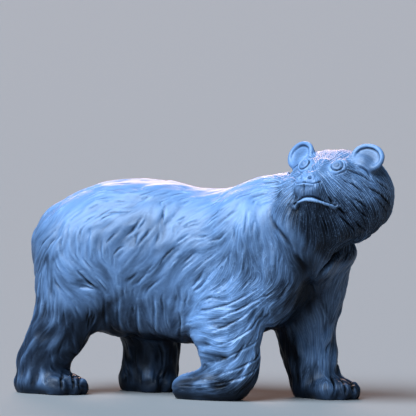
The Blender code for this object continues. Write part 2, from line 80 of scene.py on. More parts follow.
# Rounds of evening, of the solid and then of the fine skin, and each round's step in and out.
EVENING_ROUNDS = (25, 20)
EVENING_STEPS = (0.55, 0.57)
# Points round a ball or an oval, and between two points of a drawn path.
ROUND_POINTS = 48
PATH_STEPS = 10
# Rounds of smoothing a path that is laid on the skin, and how round a bead is.
PATH_BLUR = 2
BEAD_ROUNDNESS = 6
# Edges that turn by less than this are shaded smooth, in degrees.
SMOOTH_ANGLE = 75

# The head's own frame: f forward along the muzzle, l to the bear's left, n up through the skull.
HEAD_CENTRE = (70.0, -5.0, 98.6)
HEAD_YAW = math.radians(-104)
HEAD_PITCH = math.radians(25)
EAR_PLACE = (12.2, 19.3, 19.9)
EAR_TURN = 16
EAR_HALF = (8.7, 7.7)
EAR_RIM = 1.15
EAR_BOWL_GAP = 0.9
# An ear's plate and bowl: how far forward of the rim's middle and how far up, and half the
# thickness of each.
EAR_PLATE = (-2.1, 0.0, 1.2)
EAR_BOWL = (-1.6, -0.6, 1.5)
EYE_PLACE = (22.8, 9.5, 11.3)
EYE_LOOK = (0.93, 0.26, 0.26)
EYE_HALF = (1.2, 3.5)
EYE_SINK = 0.85
LOWER_LIP = [
    (24.6, -8.0, -12.6), (27.6, -4.3, -12.4), (29.5, -1.3, -11.6), (29.9, 1.6, -10.8),
    (29.0, 4.5, -10.3), (26.8, 7.7, -10.5), (24.2, 10.5, -10.4), (21.2, 13.2, -10.1),
    (18.8, 15.0, -9.8),
]
# Half the lip's thickness, the share of it left at the lip's ends, and steps between its points.
LIP_HALF = 0.95
LIP_ENDS = 0.3
LIP_STEPS = 6
# The head's and ruff's reach: middle and half sizes in the head's frame, the share of them at
# which it ends, and the width over which it fades. Where the share is over the last value the
# skin is made finer.
HEAD_MIDDLE = (2.0, 0.0, 2.0)
HEAD_HALF = (30.0, 31.0, 28.0)
HEAD_END = 1.22
HEAD_FADE = 0.25
FINE_FROM = 0.4
# The nose and the upper lip: middle and half sizes.
NOSE = (31.5, 0, 0.3), (4.0, 6.3, 3.9)
UPPER_LIP = (31.0, 0, -6.8), (4.0, 6.0, 3.4)
# Where the hair is left off: from where it starts again, over how much, and the share left inside.
# For the soles and eyes these are distances, for the lower lip the distance from its middle line,
# and for ears, nose and upper lip shares of their half sizes. An ear counts a little larger.
BARE_SOLES = (1.5, 4, 0)
BARE_EYES = (4.0, 1.6, 0)
BARE_EARS = (1.0, 0.15, 0.25)
BARE_NOSE = (1.0, 0.3, 0.4)
BARE_UPPER_LIP = (0.8, 0.4, 0.45)
BARE_LOWER_LIP = (1.4, 1.0, 0.4)
EAR_DEEP = 4.0
EAR_MARGIN = 0.6

# The way the hair lies on the bear's right side: place, then direction. The left side mirrors it.
COMB = [
    ((-85, -4, 86), (-0.3, -0.1, -1)), ((-70, -6, 100), (-0.9, -0.2, -0.4)),
    ((-40, -6, 108), (-0.9, -0.4, -0.1)), ((-10, -6, 105), (-0.9, -0.4, -0.1)),
    ((15, -6, 106), (-0.9, -0.5, -0.1)), ((38, -6, 111), (-0.8, -0.6, 0.0)),
    ((-78, -22, 80), (-0.4, 0, -0.9)), ((-55, -28, 92), (-0.7, 0, -0.7)),
    ((-30, -30, 90), (-0.7, 0, -0.7)), ((-8, -30, 88), (-0.7, 0, -0.7)),
    ((12, -30, 90), (-0.5, 0, -0.85)), ((32, -30, 90), (-0.1, 0, -1)),
    ((-50, -32, 70), (-0.35, 0, -0.95)), ((-28, -32, 70), (-0.55, 0, -0.85)),
    ((-8, -32, 66), (-0.6, 0, -0.8)), ((10, -34, 66), (-0.65, 0, -0.75)),
    ((25, -34, 68), (-0.3, 0, -0.95)), ((40, -32, 64), (0.05, 0, -1)),
    ((-45, -30, 45), (-0.1, 0, -1)), ((-20, -30, 45), (-0.15, 0, -1)),
    ((-5, -30, 48), (-0.6, 0, -0.8)), ((42, -28, 45), (0.0, 0, -1)),
    ((-30, -10, 29), (0, -0.6, -0.7)), ((-10, -10, 27), (0, -0.6, -0.7)),
    ((-82, -20, 58), (0.1, 0, -1)), ((-64, -32, 60), (0.5, 0, -0.85)),
    ((-55, -30, 50), (0.4, 0, -0.9)), ((-68, -30, 42), (-0.2, 0, -1)),
    ((-78, -28, 28), (-0.4, 0, -0.9)), ((-80, -26, 14), (0.2, 0, -1)),
    ((-64, -24, 8), (1, 0, -0.2)), ((-88, -20, 35), (-0.3, 0, -0.95)),
    ((-38, -24, 40), (0.1, 0, -1)), ((-34, -26, 15), (0.2, 0, -1)),
    ((18, -36, 52), (-0.6, 0, -0.8)), ((5, -32, 50), (-0.85, 0, -0.55)),
    ((14, -34, 36), (-0.8, 0, -0.55)),
    ((12, -32, 10), (-0.95, 0, -0.3)), ((0, -28, 7), (-1, 0, 0)),
    ((50, -26, 30), (0.1, 0, -1)), ((62, -24, 50), (-0.1, 0, -1)),
    ((54, -30, 15), (0.2, 0, -1)), ((66, -22, 8), (1, 0, -0.3)),
    ((44, -30, 92), (-0.1, 0, -1)), ((50, -32, 80), (0.3, 0, -1)),
    ((56, -30, 66), (0.8, 0, -0.7)), ((60, 0, 62), (0.2, 0, -1)),
    ((45, 0, 44), (0, 0, -1)), ((45, 0, 100), (-0.8, -0.4, 0.2)),
]
# Where the hair of the head starts and where it runs together under the ruff, in the head's frame.
HAIR_START = (27.0, 0.0, 3.0)
HAIR_END = (-2.0, -2.0, -44.0)
# How near a guide counts at most, as a square; how strongly a placed cut pulls the hair along;
# and how much the head's own lie counts, beside its cuts and beside the body's guides.
GUIDE_NEAR = 16.0
CUT_PULL = 3.0
START_PULL = 0.002
HEAD_PULL = 4.0
# On the head the hair falls below a height and beyond a distance aside, each over the third value.
# How much it falls in front and how much more behind, starting at the third value over the fourth.
FALLS_BEYOND = (8, 12, 8)
FALL = (0.45, 0.9, 10, 16)
# Under this height it runs together, over the second value, this strongly.
GATHERS = (-18, 8, 0.5)
# The hair's slow waves: height, lengths along X, Y and Z, and shift. The head has less of them.
CALM_HEAD = 0.8
HAIR_WAVES = [
    (0.30, (7.1, 9.0, math.inf), 0.0),
    (0.28, (-11.0, math.inf, 8.3), 2.0),
    (0.16, (4.3, 5.0, 3.9), 0.0),
]

# The cut hair. Tufts, locks and streaks are uneven and soft; strands are even lines side by side,
# each two fine lines wide. Strands have the distance from one to the next, on the body and face.
# Each layer has its depth on the body and on the face. Then how unevenly strands run, how much
# their distance changes, and in how many rounds they are laid out and fitted.
TUFT_DEPTH = (0.60, 0.20)
LOCK_DEPTH = (0.28, 0.50)
STREAK_DEPTH = (0.05, 0.15)
STRAND_PITCH = (2.1, 1.5)
STRAND_DEPTH = (0.36, 0.85)
LINE_DEPTH = 0.25
UNEVENNESS = 0.7
PITCH_SPREAD = 0.22
LAYOUT_ROUNDS = 200
FITTING_ROUNDS = 30
# How far along the hair two points are tied together: for the strands' waves, for tufts and locks,
# and for streaks; and how strongly a wave is held by its ties.
WAVE_TIE = 3.2
LOCK_TIE = 1.3
STREAK_TIE = 0.55
TIE_WEIGHT = 5.0
# Rounds of smoothing every way and of drawing out along the hair; of smoothing alone, for the
# strands' pitch and for patches of deeper strands; and of smoothing what the fine skin takes over.
TUFT_ROUNDS = (8, 8)
LOCK_ROUNDS = (3, 12)
STREAK_ROUNDS = (3, 18)
PITCH_ROUNDS = 60
PATCH_ROUNDS = 25
LIE_ROUNDS = 12
TUFT_BLUR = 10
LOCK_BLUR = 8
SLIGHT_BLUR = 2
TONE_BLUR = 3
# The level in a tuft, lock or streak, and in a strand, that stays at the skin.
SOFT_LEVEL = 0.3
STRAND_LEVEL = 0.8
# Hair grows shallower above a height, over the second value, and hanging tufts grow deeper below
# a height, over the second value.
WORN_ABOVE = (62, 40)
DEEP_BELOW = (62, 30)
# Strands grow crisp from here forward, over this length, and are at least this crisp behind.
CRISP_FROM = (-25, 45, 0.4)
# The crown, where the hair of the head is worn: forward of this and over how much, then upward.
CROWN_FROM = (4, 6), (5, 5)
# How much is lost where it is worn: of locks and strands high up, of all hair on the crown, and of
# the gouges on the head; the least share left of the tufts; and how crisp the body's lines are.
LOCKS_WORN = 0.5
STRANDS_WORN = 0.75
CROWN_WORN = 0.7
GOUGES_WORN = 0.7
TUFTS_LEFT = 0.3
BODY_LINES = 0.5
# How deep strands are at the mean of the patches and of the streaks, and how much these change it.
BY_PATCH = (0.6, 0.4)
BY_STREAK = (0.85, 0.45)
# A patch is at its full height at this many times the usual one.
FULL_PATCH = 1.8

# Gouges, the long deep cuts between locks: spacing, length, half width, depth, and the lock that
# rises beside each. Their widths and depths vary. They are left out where little hair is cut.
GOUGE_SPACING = 8.5
GOUGE_LENGTH = (5, 13)
GOUGE = (0.5, 0.6, 0.25)
GOUGE_WIDTHS = (0.8, 1.3)
GOUGE_DEPTHS = (0.3, 1.0)
GOUGE_FROM = 0.3

# Cuts placed one by one: points along each. Each set has a half width, a depth and a rise.
FLANK_CUTS = (0.7, 0.8, 0.4), [
    [(-24, -27, 90), (-28, -29, 84), (-32, -30, 80)],
    [(-18.5, -28, 85), (-22, -30, 80), (-24.5, -31, 76)],
    [(-57, -32, 63.5), (-53, -31.5, 59), (-46, -30, 53)],
    [(-55, -32, 61.5), (-51, -31, 57), (-46.5, -30, 53.5)],
    [(9, -29, 64), (5.8, -29, 59.5), (2.5, -29, 56)],
    [(11, -30, 61), (8, -29, 57), (4, -29, 54)],
]
LEG_CUTS = (0.5, 0.6, 0.3), [
    [(35.3, -27, 55.8), (27.4, -30.7, 50.8), (17.4, -31.5, 46.8), (9, -31, 45)],
    [(39.8, -29, 53.5), (32, -28.6, 48.3), (21.6, -32.3, 43.2), (12, -32, 40)],
    [(38.3, -28, 50.9), (31, -29.4, 43.4), (22.9, -32, 38.3), (13, -32, 34)],
    [(39.1, -26.3, 43.4), (34.4, -27.4, 37.2), (25.4, -31.4, 30.9), (14.5, -32, 27)],
    [(39.7, -21.7, 38.2), (36.1, -24.3, 30.8), (27.9, -31.1, 24.8), (16, -32, 20)],
    [(38.5, -21, 30), (36.7, -22, 23.2), (29, -30.1, 17.3), (16, -31.3, 13)],
    [(38, -21, 23), (35.8, -23, 17.1), (26.8, -30.9, 11.1), (9, -31, 7.5)],
]
TOE_CUTS = (0.75, 1.5, 0.3), [
    [(-66, -24, 11), (-64, -31, 8), (-63.4, -32, 2)],
    [(-64, -16, 10.7), (-59.4, -27, 7.7), (-59, -28, 2)],
    [(-59, -19, 9.4), (-56.1, -26, 6.2), (-55.6, -25.7, 2)],
    [(63.8, 10.5, 12.4), (66.5, 5.2, 8.9), (67.9, 0.7, 2)],
    [(68, 13, 11), (72.9, 4.6, 7.7), (73.7, 3.7, 2)],
    [(70.1, 22.6, 9.3), (75.9, 8.6, 7.0), (76.6, 8.0, 2)],
]
RUFF_CUTS = (1.1, 1.8, 1.2), [
    [(92.6, -4.5, 86.5), (89, -8, 83.6), (85, -8, 81), (81, -8, 79.4), (76, -4, 77)],
    [(76, -4, 77), (72.7, -6.5, 74.3), (71, -12, 72), (69, -14.7, 69), (67, -17, 65), (64, -16, 61)],
]
MANE_CUTS = (1.4, 0.9, 0.4), [
    [(42, -26, 95.5), (44.6, -28.4, 89), (49.4, -32, 84.6), (54, -33, 80), (57, -31, 75)],
    [(57, -31, 75), (59.5, -27, 69), (61, -22, 64)],
]

# Gaps between the tufts that hang along the belly: where each starts, and their shape below that.
BELLY_TUFTS = [(-43.5, 47), (-36, 52), (-27, 45), (-17, 50), (-5, 44)]
BELLY_CUTS = (0.75, 0.6, 0.8), [
    [(x, -29, top), (x - 0.5, -25.5, top - 6), (x - 1.8, -21, top - 12), (x - 3.2, -13, top - 18)]
    for x, top in BELLY_TUFTS
]

# The face, in the head's frame. Lids and folds are those of the left eye, in its own plane: outward
# from the nose, then up. The right eye mirrors them.
LID_CUTS = (0.4, 0.7, 0.15), [
    [(-4.0, 0.4), (-3.4, 3.0), (-0.6, 4.4), (2.9, 3.6), (4.9, 1.0), (7.0, -1.8)],
    [(7.0, -1.8), (4.3, -3.5), (1.0, -4.7), (-2.0, -4.1), (-4.0, -1.6)],
]
FOLD_CUTS = (0.35, 0.45, 0.2), [
    [(-5.0, 3.6), (-1.6, 6.0), (2.8, 5.8), (6.6, 3.2)], [(5.4, 0.6), (7.8, 0.4), (10.0, 1.2)],
    [(7.0, -1.8), (8.8, -2.9), (10.8, -3.2)], [(-4.6, -3.6), (-2.4, -5.8), (1.2, -6.6)],
]
MOUTH_CUTS = (0.5, 1.1, 0.0), [
    [(27.0, -6.0, -11.6), (28.4, -4.6, -11.4), (30.0, -2.8, -10.8), (30.7, 0, -9.7),
     (29.8, 3.8, -8.8), (27.1, 7.2, -8.7), (24.4, 10.1, -9.0), (20.9, 13.3, -8.8)],
]
CHIN_CUTS = (0.9, 0.8, 0.0), [[(f - 0.8, l, n - 1.8) for f, l, n in LOWER_LIP[1:-2]]]
BRIDGE_BEADS = (2.3, -1.5, 0.0), [
    [(30.5, side, 3.0), (28.5, side, 4.8), (26.0, side, 7.2), (23.5, side * 0.8, 10.2),
     (20.5, side * 0.5, 13.6)] for side in (-2.4, 2.0)
]
UPPER_LIP_BEADS = (0.5, -0.4, 0.0), [
    [(30.4, -6.0, -5.2), (32.4, -4.2, -4.0), (33.0, 0, -3.8), (32.4, 4.4, -3.6), (30.4, 6.4, -4.8)],
]
PHILTRUM_CUTS = (0.38, 0.65, 0.0), [
    [(33.2, 0.1, -4.6), (31.9, 0.1, -6.4), (30.6, 0.1, -8.8)],
    [(29.6, -6.4, -1.0), (32.0, -4.8, -2.9), (33.2, 0, -2.9), (32.0, 5.0, -2.6), (29.6, 6.6, -0.8)],
]
NOSTRILS = [(32.6, -3.0, 0.0), (32.6, 2.4, 0.2)]
NOSTRIL_WAY = (1.0, 0.0, 0.25)
# Rings of a nostril, outward from its middle: radius and height over the skin.
NOSTRIL_RINGS = [(0, -1.2), (0.5, -1.0), (1.1, 0.15), (1.8, 0.1), (2.4, -0.2), (3.1, 0)]
# Rings of an eyeball, for the iris and the groove round the ball: radius and height. No ring
# reaches farther than this along the way it faces.
RING_REACH = 5
EYE_RINGS = [
    (0, 0), (1.1, 0), (1.4, -0.25), (1.7, 0), (2.7, 0), (3.2, -0.5), (3.7, 0.1), (5.0, 0),
]
# How dark those rings are, a darker ball with painted shade in the groove round it: radius and
# share of black.
EYE_DARKNESS = [(0, 0.4), (1.1, 0.3), (2.4, 0.2), (2.9, 0.5), (3.3, 0.5), (3.7, 0)]
# Long strokes over the cheek and jaw, in the head's frame on its left. The right mirrors them, but
# for the last of each set.
CHEEK_CUTS = (0.5, 1.0, 0.5), [
    [(20.8, 13.2, 4.6), (18, 16.1, 4), (15.4, 19.3, 3.2), (12.4, 22.5, 1.2), (10.1, 24.2, -1.7)],
    [(16.2, 18.5, -3.2), (12.2, 22.4, -4.1), (7.6, 24.7, -6)],
    [(20, 14.8, -3), (15.6, 18.9, -5.6), (10.3, 22.5, -8.6), (5.3, 24.3, -9.1)],
    [(8.9, 24, 10.1), (4.6, 26.3, 9.3), (-1.7, 27.4, 8.7)],
    [(10.8, 23.6, 4.6), (5.4, 26.5, 4.4), (-2.3, 27.7, 3.6), (-9.7, 26.2, 2.7)],
    [(7.6, 25.8, 0.7), (1.9, 27.3, -0.2), (-7.5, 26.2, -0.9)],
    [(18.7, 13, -12.5), (12.8, 17.1, -15.2), (4.2, 18.7, -16.9)],
    [(12.6, 19, -12.4), (4.6, 21, -14.3), (-7.2, 18.7, -12.8)],
    [(15.5, 16, 14.5), (12.9, 21.1, 12.6), (10.1, 23.4, 9.2)],
    [(19.9, 14.6, 10.1), (14.7, 18.1, 10.3), (11.2, 22.3, 8.8), (7.6, 24.8, 7.6)],
    [(24, 10.8, -6.8), (19.8, 14.4, -10.2), (14.8, 17.3, -12)],
]
MUZZLE_CUTS = (0.4, 0.4, 0.3), [
    [(28.6, 4.7, 3.7), (25.5, 9.8, -0.2), (19.7, 15, -4.2)],
    [(25.8, 4.7, 6.2), (23.4, 11, 2.1), (18.2, 16.4, -2.1)],
    [(23, 7.5, -15.6), (17.4, 8.8, -20.0), (11.6, 8.2, -24.2)],
    [(24, 0.7, -16.4), (19.4, 1.6, -21.3), (14.7, 2.5, -25.7)],
]

# The groove inside an ear's rim: half width and depth, its gap to the rim, and the turns where it
# starts and ends.
EAR_GROOVE = (0.6, 0.9, 0.0)
EAR_GROOVE_GAP = 0.2
EAR_GROOVE_TURNS = (-40, 190)

# How far off the skin a cut's points may lie before they are left out, and the fewest it may have.
STRAY = 6.0
FEWEST_POINTS = 8
# A cut's reach in half widths and beyond them; and the lock beside it, in half widths: how far
# aside it is highest, and how wide it is.
CUT_REACH = (5.0, 1.0)
LOCK_ASIDE = (2.2, 1.7)
# A cut's pointed ends: the share of its length at each that is even, and the taper's power. Points
# count by their distance from its nearest point, less this much along it, and only if their
# skin faces its way by at least the last value.
CUT_ENDS = 0.03
CUT_TAPER = 0.6
CUT_ALONG = 0.6
CUT_FACING = 0.1

# How closed in a place is, from which shade is painted into closed-in places: rays cast from each
# point, how far they reach, how far off the skin they start, how wide they spread, and rounds of
# smoothing. The ground counts too: half its size and its height.
HOLLOW_RAYS = 14
HOLLOW_REACH = 45.0
HOLLOW_START = 0.8
HOLLOW_WIDTH = 0.95
HOLLOW_BLUR = 4
GROUND_HALF = 300
GROUND_HEIGHT = -0.1


def select_only(thing):
    bpy.ops.object.select_all(action="DESELECT")
    thing.select_set(True)
    bpy.context.view_layer.objects.active = thing


def apply(thing, kind, **settings):
    """Adds a modifier with these settings and applies it."""
    select_only(thing)
    modifier = thing.modifiers.new(kind.lower(), kind)
    for name, value in settings.items():
        setattr(modifier, name, value)
    bpy.ops.object.modifier_apply(modifier=modifier.name)


def head_matrix():
    """Turns head coordinates f, l, n into carving units."""
    forward = Vector((math.cos(HEAD_YAW), math.sin(HEAD_YAW), 0))
    left = Vector((-forward.y, forward.x, 0))
    muzzle = forward * math.cos(HEAD_PITCH) + Vector((0, 0, math.sin(HEAD_PITCH)))
    turn = Matrix((muzzle, left, muzzle.cross(left))).transposed().to_4x4()
    return Matrix.Translation(HEAD_CENTRE) @ turn


def in_head(points):
    """Carving points in the head's own frame."""
    turn = np.array(head_matrix().inverted())
    return points @ turn[:3, :3].T + turn[:3, 3]


def copied_stone():
    """A copy of the bear's solid in carving units, its loose triangles merged into one skin."""
    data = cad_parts["polar_bear"].data.copy()
    data.transform(Matrix.Scale(1 / UNIT, 4) @ Matrix.Translation(-Vector(ORIGIN)))
    data.materials.clear()
    bear = bpy.data.objects.new("bear_carving", data)
    bpy.context.scene.collection.objects.link(bear)
    select_only(bear)
    bpy.ops.object.mode_set(mode="EDIT")
    bpy.ops.mesh.select_all(action="SELECT")
    bpy.ops.mesh.remove_doubles(threshold=MERGE_GAP)
    bpy.ops.object.mode_set(mode="OBJECT")
    return bear


def ball(centre, half, place):
    """An ellipsoid with its axes along those of place."""
    bpy.ops.mesh.primitive_uv_sphere_add(segments=ROUND_POINTS, ring_count=ROUND_POINTS // 2, radius=1)
    made = bpy.context.object
    made.data.transform(place @ Matrix.Translation(centre) @ Matrix.Diagonal((*half, 1)))
    return made


def ear_place(side):
    f, l, n = EAR_PLACE
    turn = Matrix.Rotation(math.radians(EAR_TURN) * side, 4, "Z")
    return head_matrix() @ Matrix.Translation((f, l * side, n)) @ turn


def ear_oval(inset, first=0, last=360):
    """Points round the ear, in its own plane, this far inside its edge."""
    wide, high = [half - inset for half in EAR_HALF]
    turns = [math.radians(first + (last - first) * k / ROUND_POINTS) for k in range(ROUND_POINTS)]
    return [(0, wide * math.cos(t), high * math.sin(t)) for t in turns]


def ear(side):
    """A round rim on a thin plate, with a shallow bowl inside it that faces the muzzle."""
    place = ear_place(side)
    ring = tube(ear_oval(EAR_RIM), EAR_RIM, place, closed=True)
    wide, high = [half - EAR_RIM for half in EAR_HALF]
    inner = EAR_RIM + EAR_BOWL_GAP
    forward, up, thick = EAR_PLATE
    plate = ball((forward, 0, up), (thick, wide, high), place)
    forward, up, thick = EAR_BOWL
    return [ring, plate, ball((forward, 0, up), (thick, wide - inner, high - inner), place)]


def eye(side):
    """A flat ball that looks forward, a little outward and a little up."""
    look = Vector(EYE_LOOK).normalized()
    middle = Vector(EYE_PLACE) - look * EYE_SINK
    for way in (middle, look):
        way.y *= side
    turn = look.to_track_quat("X", "Z").to_matrix().to_4x4()
    thick, wide = EYE_HALF
    return ball((0, 0, 0), (thick, wide, wide), head_matrix() @ Matrix.Translation(middle) @ turn)


def tube(points, radius, place, closed=False, ends=1.0):
    """A round bead along a smooth path, as a filled curve made into a mesh. Its ends may taper."""
    curve = bpy.data.curves.new("bead", "CURVE")
    curve.dimensions = "3D"
    curve.bevel_depth = radius
    curve.bevel_resolution = BEAD_ROUNDNESS
    curve.use_fill_caps = True
    line = curve.splines.new("NURBS")
    line.points.add(len(points) - 1)
    for spot, point in zip(line.points, points):
        spot.co = (*(place @ Vector(point)), 1)
    line.points[0].radius = line.points[-1].radius = ends
    line.use_cyclic_u = closed
    line.use_endpoint_u = not closed
    line.order_u = 4
    made = bpy.data.objects.new("bead", curve)
    bpy.context.scene.collection.objects.link(made)
    select_only(made)
    bpy.ops.object.convert(target="MESH")
    return bpy.context.object


def remeshed(thing, grid):
    apply(thing, "REMESH", mode="VOXEL", voxel_size=grid)
    return thing


def coarse_and_fine():
    """The evened solid twice: a coarse skin, and a fine one with the head's features fused in."""
    bear = copied_stone()
    apply(bear, "SUBSURF", levels=SUBDIVISIONS, render_levels=SUBDIVISIONS)
    evened = Skin(bear)
    evened.even(EVENING_ROUNDS[0])
    evened.store()
    layout = bpy.data.objects.new("bear_layout", bear.data.copy())
    bpy.context.scene.collection.objects.link(layout)
    lip = tube(LOWER_LIP, LIP_HALF, head_matrix(), ends=LIP_ENDS)
    features = [lip, *ear(1), *ear(-1), eye(1), eye(-1)]
    select_only(bear)
    for feature in features:
        feature.select_set(True)
    bpy.ops.object.join()
    return remeshed(layout, COARSE_GRID), refined_head(remeshed(bear, GRID))


def refined_head(bear):
    """Splits the faces of the head in four, so that its cuts can be finer."""
    data = bear.data
    centres = np.empty((len(data.polygons), 3))
    data.polygons.foreach_get("center", centres.reshape(-1))
    data.polygons.foreach_set("select", head_share(in_head(centres)) > FINE_FROM)
    select_only(bear)
    bpy.ops.object.mode_set(mode="EDIT")
    bpy.ops.mesh.subdivide(number_cuts=1)
    bpy.ops.object.mode_set(mode="OBJECT")
    return bear


class Skin:
    """The stone's points and edges as arrays, so that carving can move all points at once."""

    def __init__(self, thing):
        self.data = thing.data
        self.points = np.empty((len(self.data.vertices), 3))
        self.data.vertices.foreach_get("co", self.points.reshape(-1))
        self.edges = np.empty((len(self.data.edges), 2), int)
        self.data.edges.foreach_get("vertices", self.edges.reshape(-1))
        self.degree = np.bincount(self.edges.reshape(-1), minlength=len(self.points))

    def store(self):
        self.data.vertices.foreach_set("co", self.points.reshape(-1))
        self.data.update()

    def normals(self):
        self.store()
        found = np.empty((len(self.points), 3))
        self.data.vertex_normals.foreach_get("vector", found.reshape(-1))
        return found

    def gathered(self, values):
        """The sum of each point's neighbours' values."""
        a, b = self.edges.T
        if values.ndim == 1:
            return np.bincount(a, values[b], len(values)) + np.bincount(b, values[a], len(values))
        return np.stack([self.gathered(column) for column in values.T], 1)

    def mean(self, values):
        """The mean of each point's neighbours' values."""
        total = self.gathered(values)
        return total / (self.degree if values.ndim == 1 else self.degree[:, None])

    def blurred(self, values, rounds):
        for _ in range(rounds):
            values = 0.5 * values + 0.5 * self.mean(values)
        return values

    def drawn_out(self, values, ties, rounds):
        """Values smoothed along the hair, through the points tied ahead and behind."""
        for _ in range(rounds):
            values = (values + values[ties[0]] + values[ties[1]]) / 3
        return values

    def even(self, rounds):
        """Takes out small bumps without shrinking the form."""
        inward, outward = EVENING_STEPS
        for _ in range(rounds):
            self.points += inward * (self.mean(self.points) - self.points)
            self.points -= outward * (self.mean(self.points) - self.points)


def far_in(points, middle, half):
    """How far each point is from the middle of an oval, as a share of its half sizes."""
    return np.linalg.norm((points - np.array(middle)) / half, axis=1)


def head_share(inside):
    """1 on the head and ruff, falling to 0 over the neck."""
    return np.clip((HEAD_END - far_in(inside, HEAD_MIDDLE, HEAD_HALF)) / HEAD_FADE, 0, 1)


def guided(points, path):
    """How much a stroke pulls the hair along with it."""
    pull = np.zeros_like(points)
    for one, other in zip(path, path[1:]):
        way = np.subtract(other, one)
        reach = ((points - np.add(one, other) / 2) ** 2).sum(1) + GUIDE_NEAR
        pull += way / np.linalg.norm(way) * (CUT_PULL * reach**-2.0)[:, None]
    return pull


def body_lie(points):
    """The lie of the hair on the body: a blend of the guide arrows and of the placed cuts."""
    flow = np.zeros_like(points)
    for place, way in COMB:
        for side in (1, -1):
            reach = ((points - np.multiply(place, (1, side, 1))) ** 2).sum(1) + GUIDE_NEAR
            way_here = np.multiply(way, (1, side, 1)) / np.linalg.norm(way)
            flow += way_here * (reach**-2.0)[:, None]
    for _, paths in (FLANK_CUTS, LEG_CUTS):
        for path in paths:
            flow += guided(points, path)
    return flow / (np.linalg.norm(flow, axis=1)[:, None] + 1e-12)


def head_lie(inside):
    """The lie of the hair on the head: away from the nose, falling beside the muzzle, and together
    under the ruff, pulled along by the placed strokes."""
    f, l, n = inside.T
    start, end = inside - HAIR_START, np.array(HAIR_END) - inside
    start /= np.linalg.norm(start, axis=1)[:, None]
    end /= np.linalg.norm(end, axis=1)[:, None]
    below, beyond, over = FALLS_BEYOND
    fall = np.clip(np.maximum((below - n) / over, (np.abs(l) - beyond) / over), 0, 1)
    in_front, more, back, over = FALL
    fall *= in_front + more * np.clip((back - f) / over, 0, 1)
    below, over, strength = GATHERS
    flow = start + end * (strength * np.clip((below - n) / over, 0, 1))[:, None]
    flow[:, 2] -= fall
    flow *= START_PULL
    for _, paths in (CHEEK_CUTS, MUZZLE_CUTS):
        for path in paths:
            for side in (1, -1):
                flow += guided(inside, np.array(path) * (1, side, 1))
    return flow / np.linalg.norm(flow, axis=1)[:, None]


def comb(points, normals):
    """The lie of the hair at each point, laid on the surface and a little wavy."""
    inside = in_head(points)
    share = head_share(inside)
    turn = np.array(head_matrix().to_3x3()).T
    flow = body_lie(points) + head_lie(inside) @ turn * (HEAD_PULL * share)[:, None]
    wave = np.zeros(len(points))
    for high, lengths, shift in HAIR_WAVES:
        wave += high * np.sin((points / lengths).sum(1) + shift)
    wave *= 1 - CALM_HEAD * share
    flow += np.cross(normals, flow) * wave[:, None]
    flow -= normals * (flow * normals).sum(1, keepdims=True)
    return flow / (np.linalg.norm(flow, axis=1)[:, None] + 1e-12)


def turned(wave, across, gap, pitch):
    """The wave as it is expected to be a gap away."""
    return wave * np.exp(2j * math.pi * (across * gap).sum(1) / pitch)


def strand_waves(skin, flow, normals, pitch, rounds, wave, ties=()):
    """Waves one pitch apart that run along the flow: each point's place in its wave as a complex
    number, and how well its neighbours agree. Where waves start or end, they agree badly."""
    a, b = skin.edges.T
    across = np.cross(normals, flow)
    turn = ((across[a] + across[b]) * (skin.points[b] - skin.points[a])).sum(1)
    turn *= math.pi / (0.5 * (pitch[a] + pitch[b]))
    step = np.exp(1j * turn)
    tied = [(tie, turned(1, 0.5 * (across[tie] + across), skin.points - skin.points[tie], pitch))
            for tie in ties]
    for _ in range(rounds):
        ahead, behind = wave[a] * step, wave[b] * step.conj()
        total = (
            np.bincount(b, ahead.real, len(wave)) + np.bincount(a, behind.real, len(wave))
            + 1j * (np.bincount(b, ahead.imag, len(wave)) + np.bincount(a, behind.imag, len(wave)))
        )
        for tie, shift in tied:
            total += TIE_WEIGHT * wave[tie] * shift
        strength = np.abs(total)
        wave = total / np.maximum(strength, 1e-9)
    return wave, strength / (skin.degree + TIE_WEIGHT * len(ties))


def smooth_path(points, steps):
    """More points between the given ones, on a Catmull-Rom curve through them."""
    rows = np.array(points, float)
    padded = np.vstack([2 * rows[0] - rows[1], rows, 2 * rows[-1] - rows[-2]])
    made = []
    for k in range(1, len(padded) - 2):
        a, b, c, d = padded[k - 1 : k + 3]
        for t in np.arange(steps) / steps:
            made.append(
                0.5 * (2 * b + (c - a) * t + (2 * a - 5 * b + 4 * c - d) * t**2
                       + (3 * b - a - 3 * c + d) * t**3)
            )
    made.append(rows[-1])
    return np.array(made)


class Finder:
    """Finds points of the skin: the nearest to a place, and all those round a path."""

    def __init__(self, points):
        self.points = points
        self.tree = KDTree(len(points))
        for k, point in enumerate(points):
            self.tree.insert(point, k)
        self.tree.balance()
        self.order = np.argsort(points[:, 0])
        self.along_x = points[self.order, 0]

    def nearest(self, place):
        return self.tree.find(place)[1]

    def round_path(self, path, reach):
        """Points within reach of the path, each with its nearest path point and its distance."""
        low, high = path.min(0) - reach, path.max(0) + reach
        first, last = np.searchsorted(self.along_x, (low[0], high[0]))
        some = self.order[first:last]
        here = self.points[some]
        some = some[((here > low) & (here < high)).all(1)]
        gaps = np.linalg.norm(self.points[some, None] - path[None], axis=2)
        spot = gaps.argmin(1)
        gap = gaps[np.arange(len(some)), spot]
        close = gap < reach
        return some[close], spot[close], gap[close]

    def trace(self, start, flow, length, step=1.0):
        """The path of one hair over the skin, half of it before the start and half after."""
        halves = []
        for way in (-1, 1):
            here, path = start, []
            for _ in range(int(length / 2 / step)):
                here = self.nearest(self.points[here] + flow[here] * (way * step))
                path.append(self.points[here])
            halves.append(path)
        return np.array(halves[0][::-1] + [self.points[start]] + halves[1])


def spread_out(points, allowed, spacing, dice):
    """Chosen points, no two of them in the same corner of a grid."""
    taken, chosen = set(), []
    cells = np.floor(points / spacing).astype(int)
    for k in dice.permutation(np.nonzero(allowed)[0]):
        cell = tuple(cells[k])
        if cell not in taken:
            taken.add(cell)
            chosen.append(k)
    return chosen


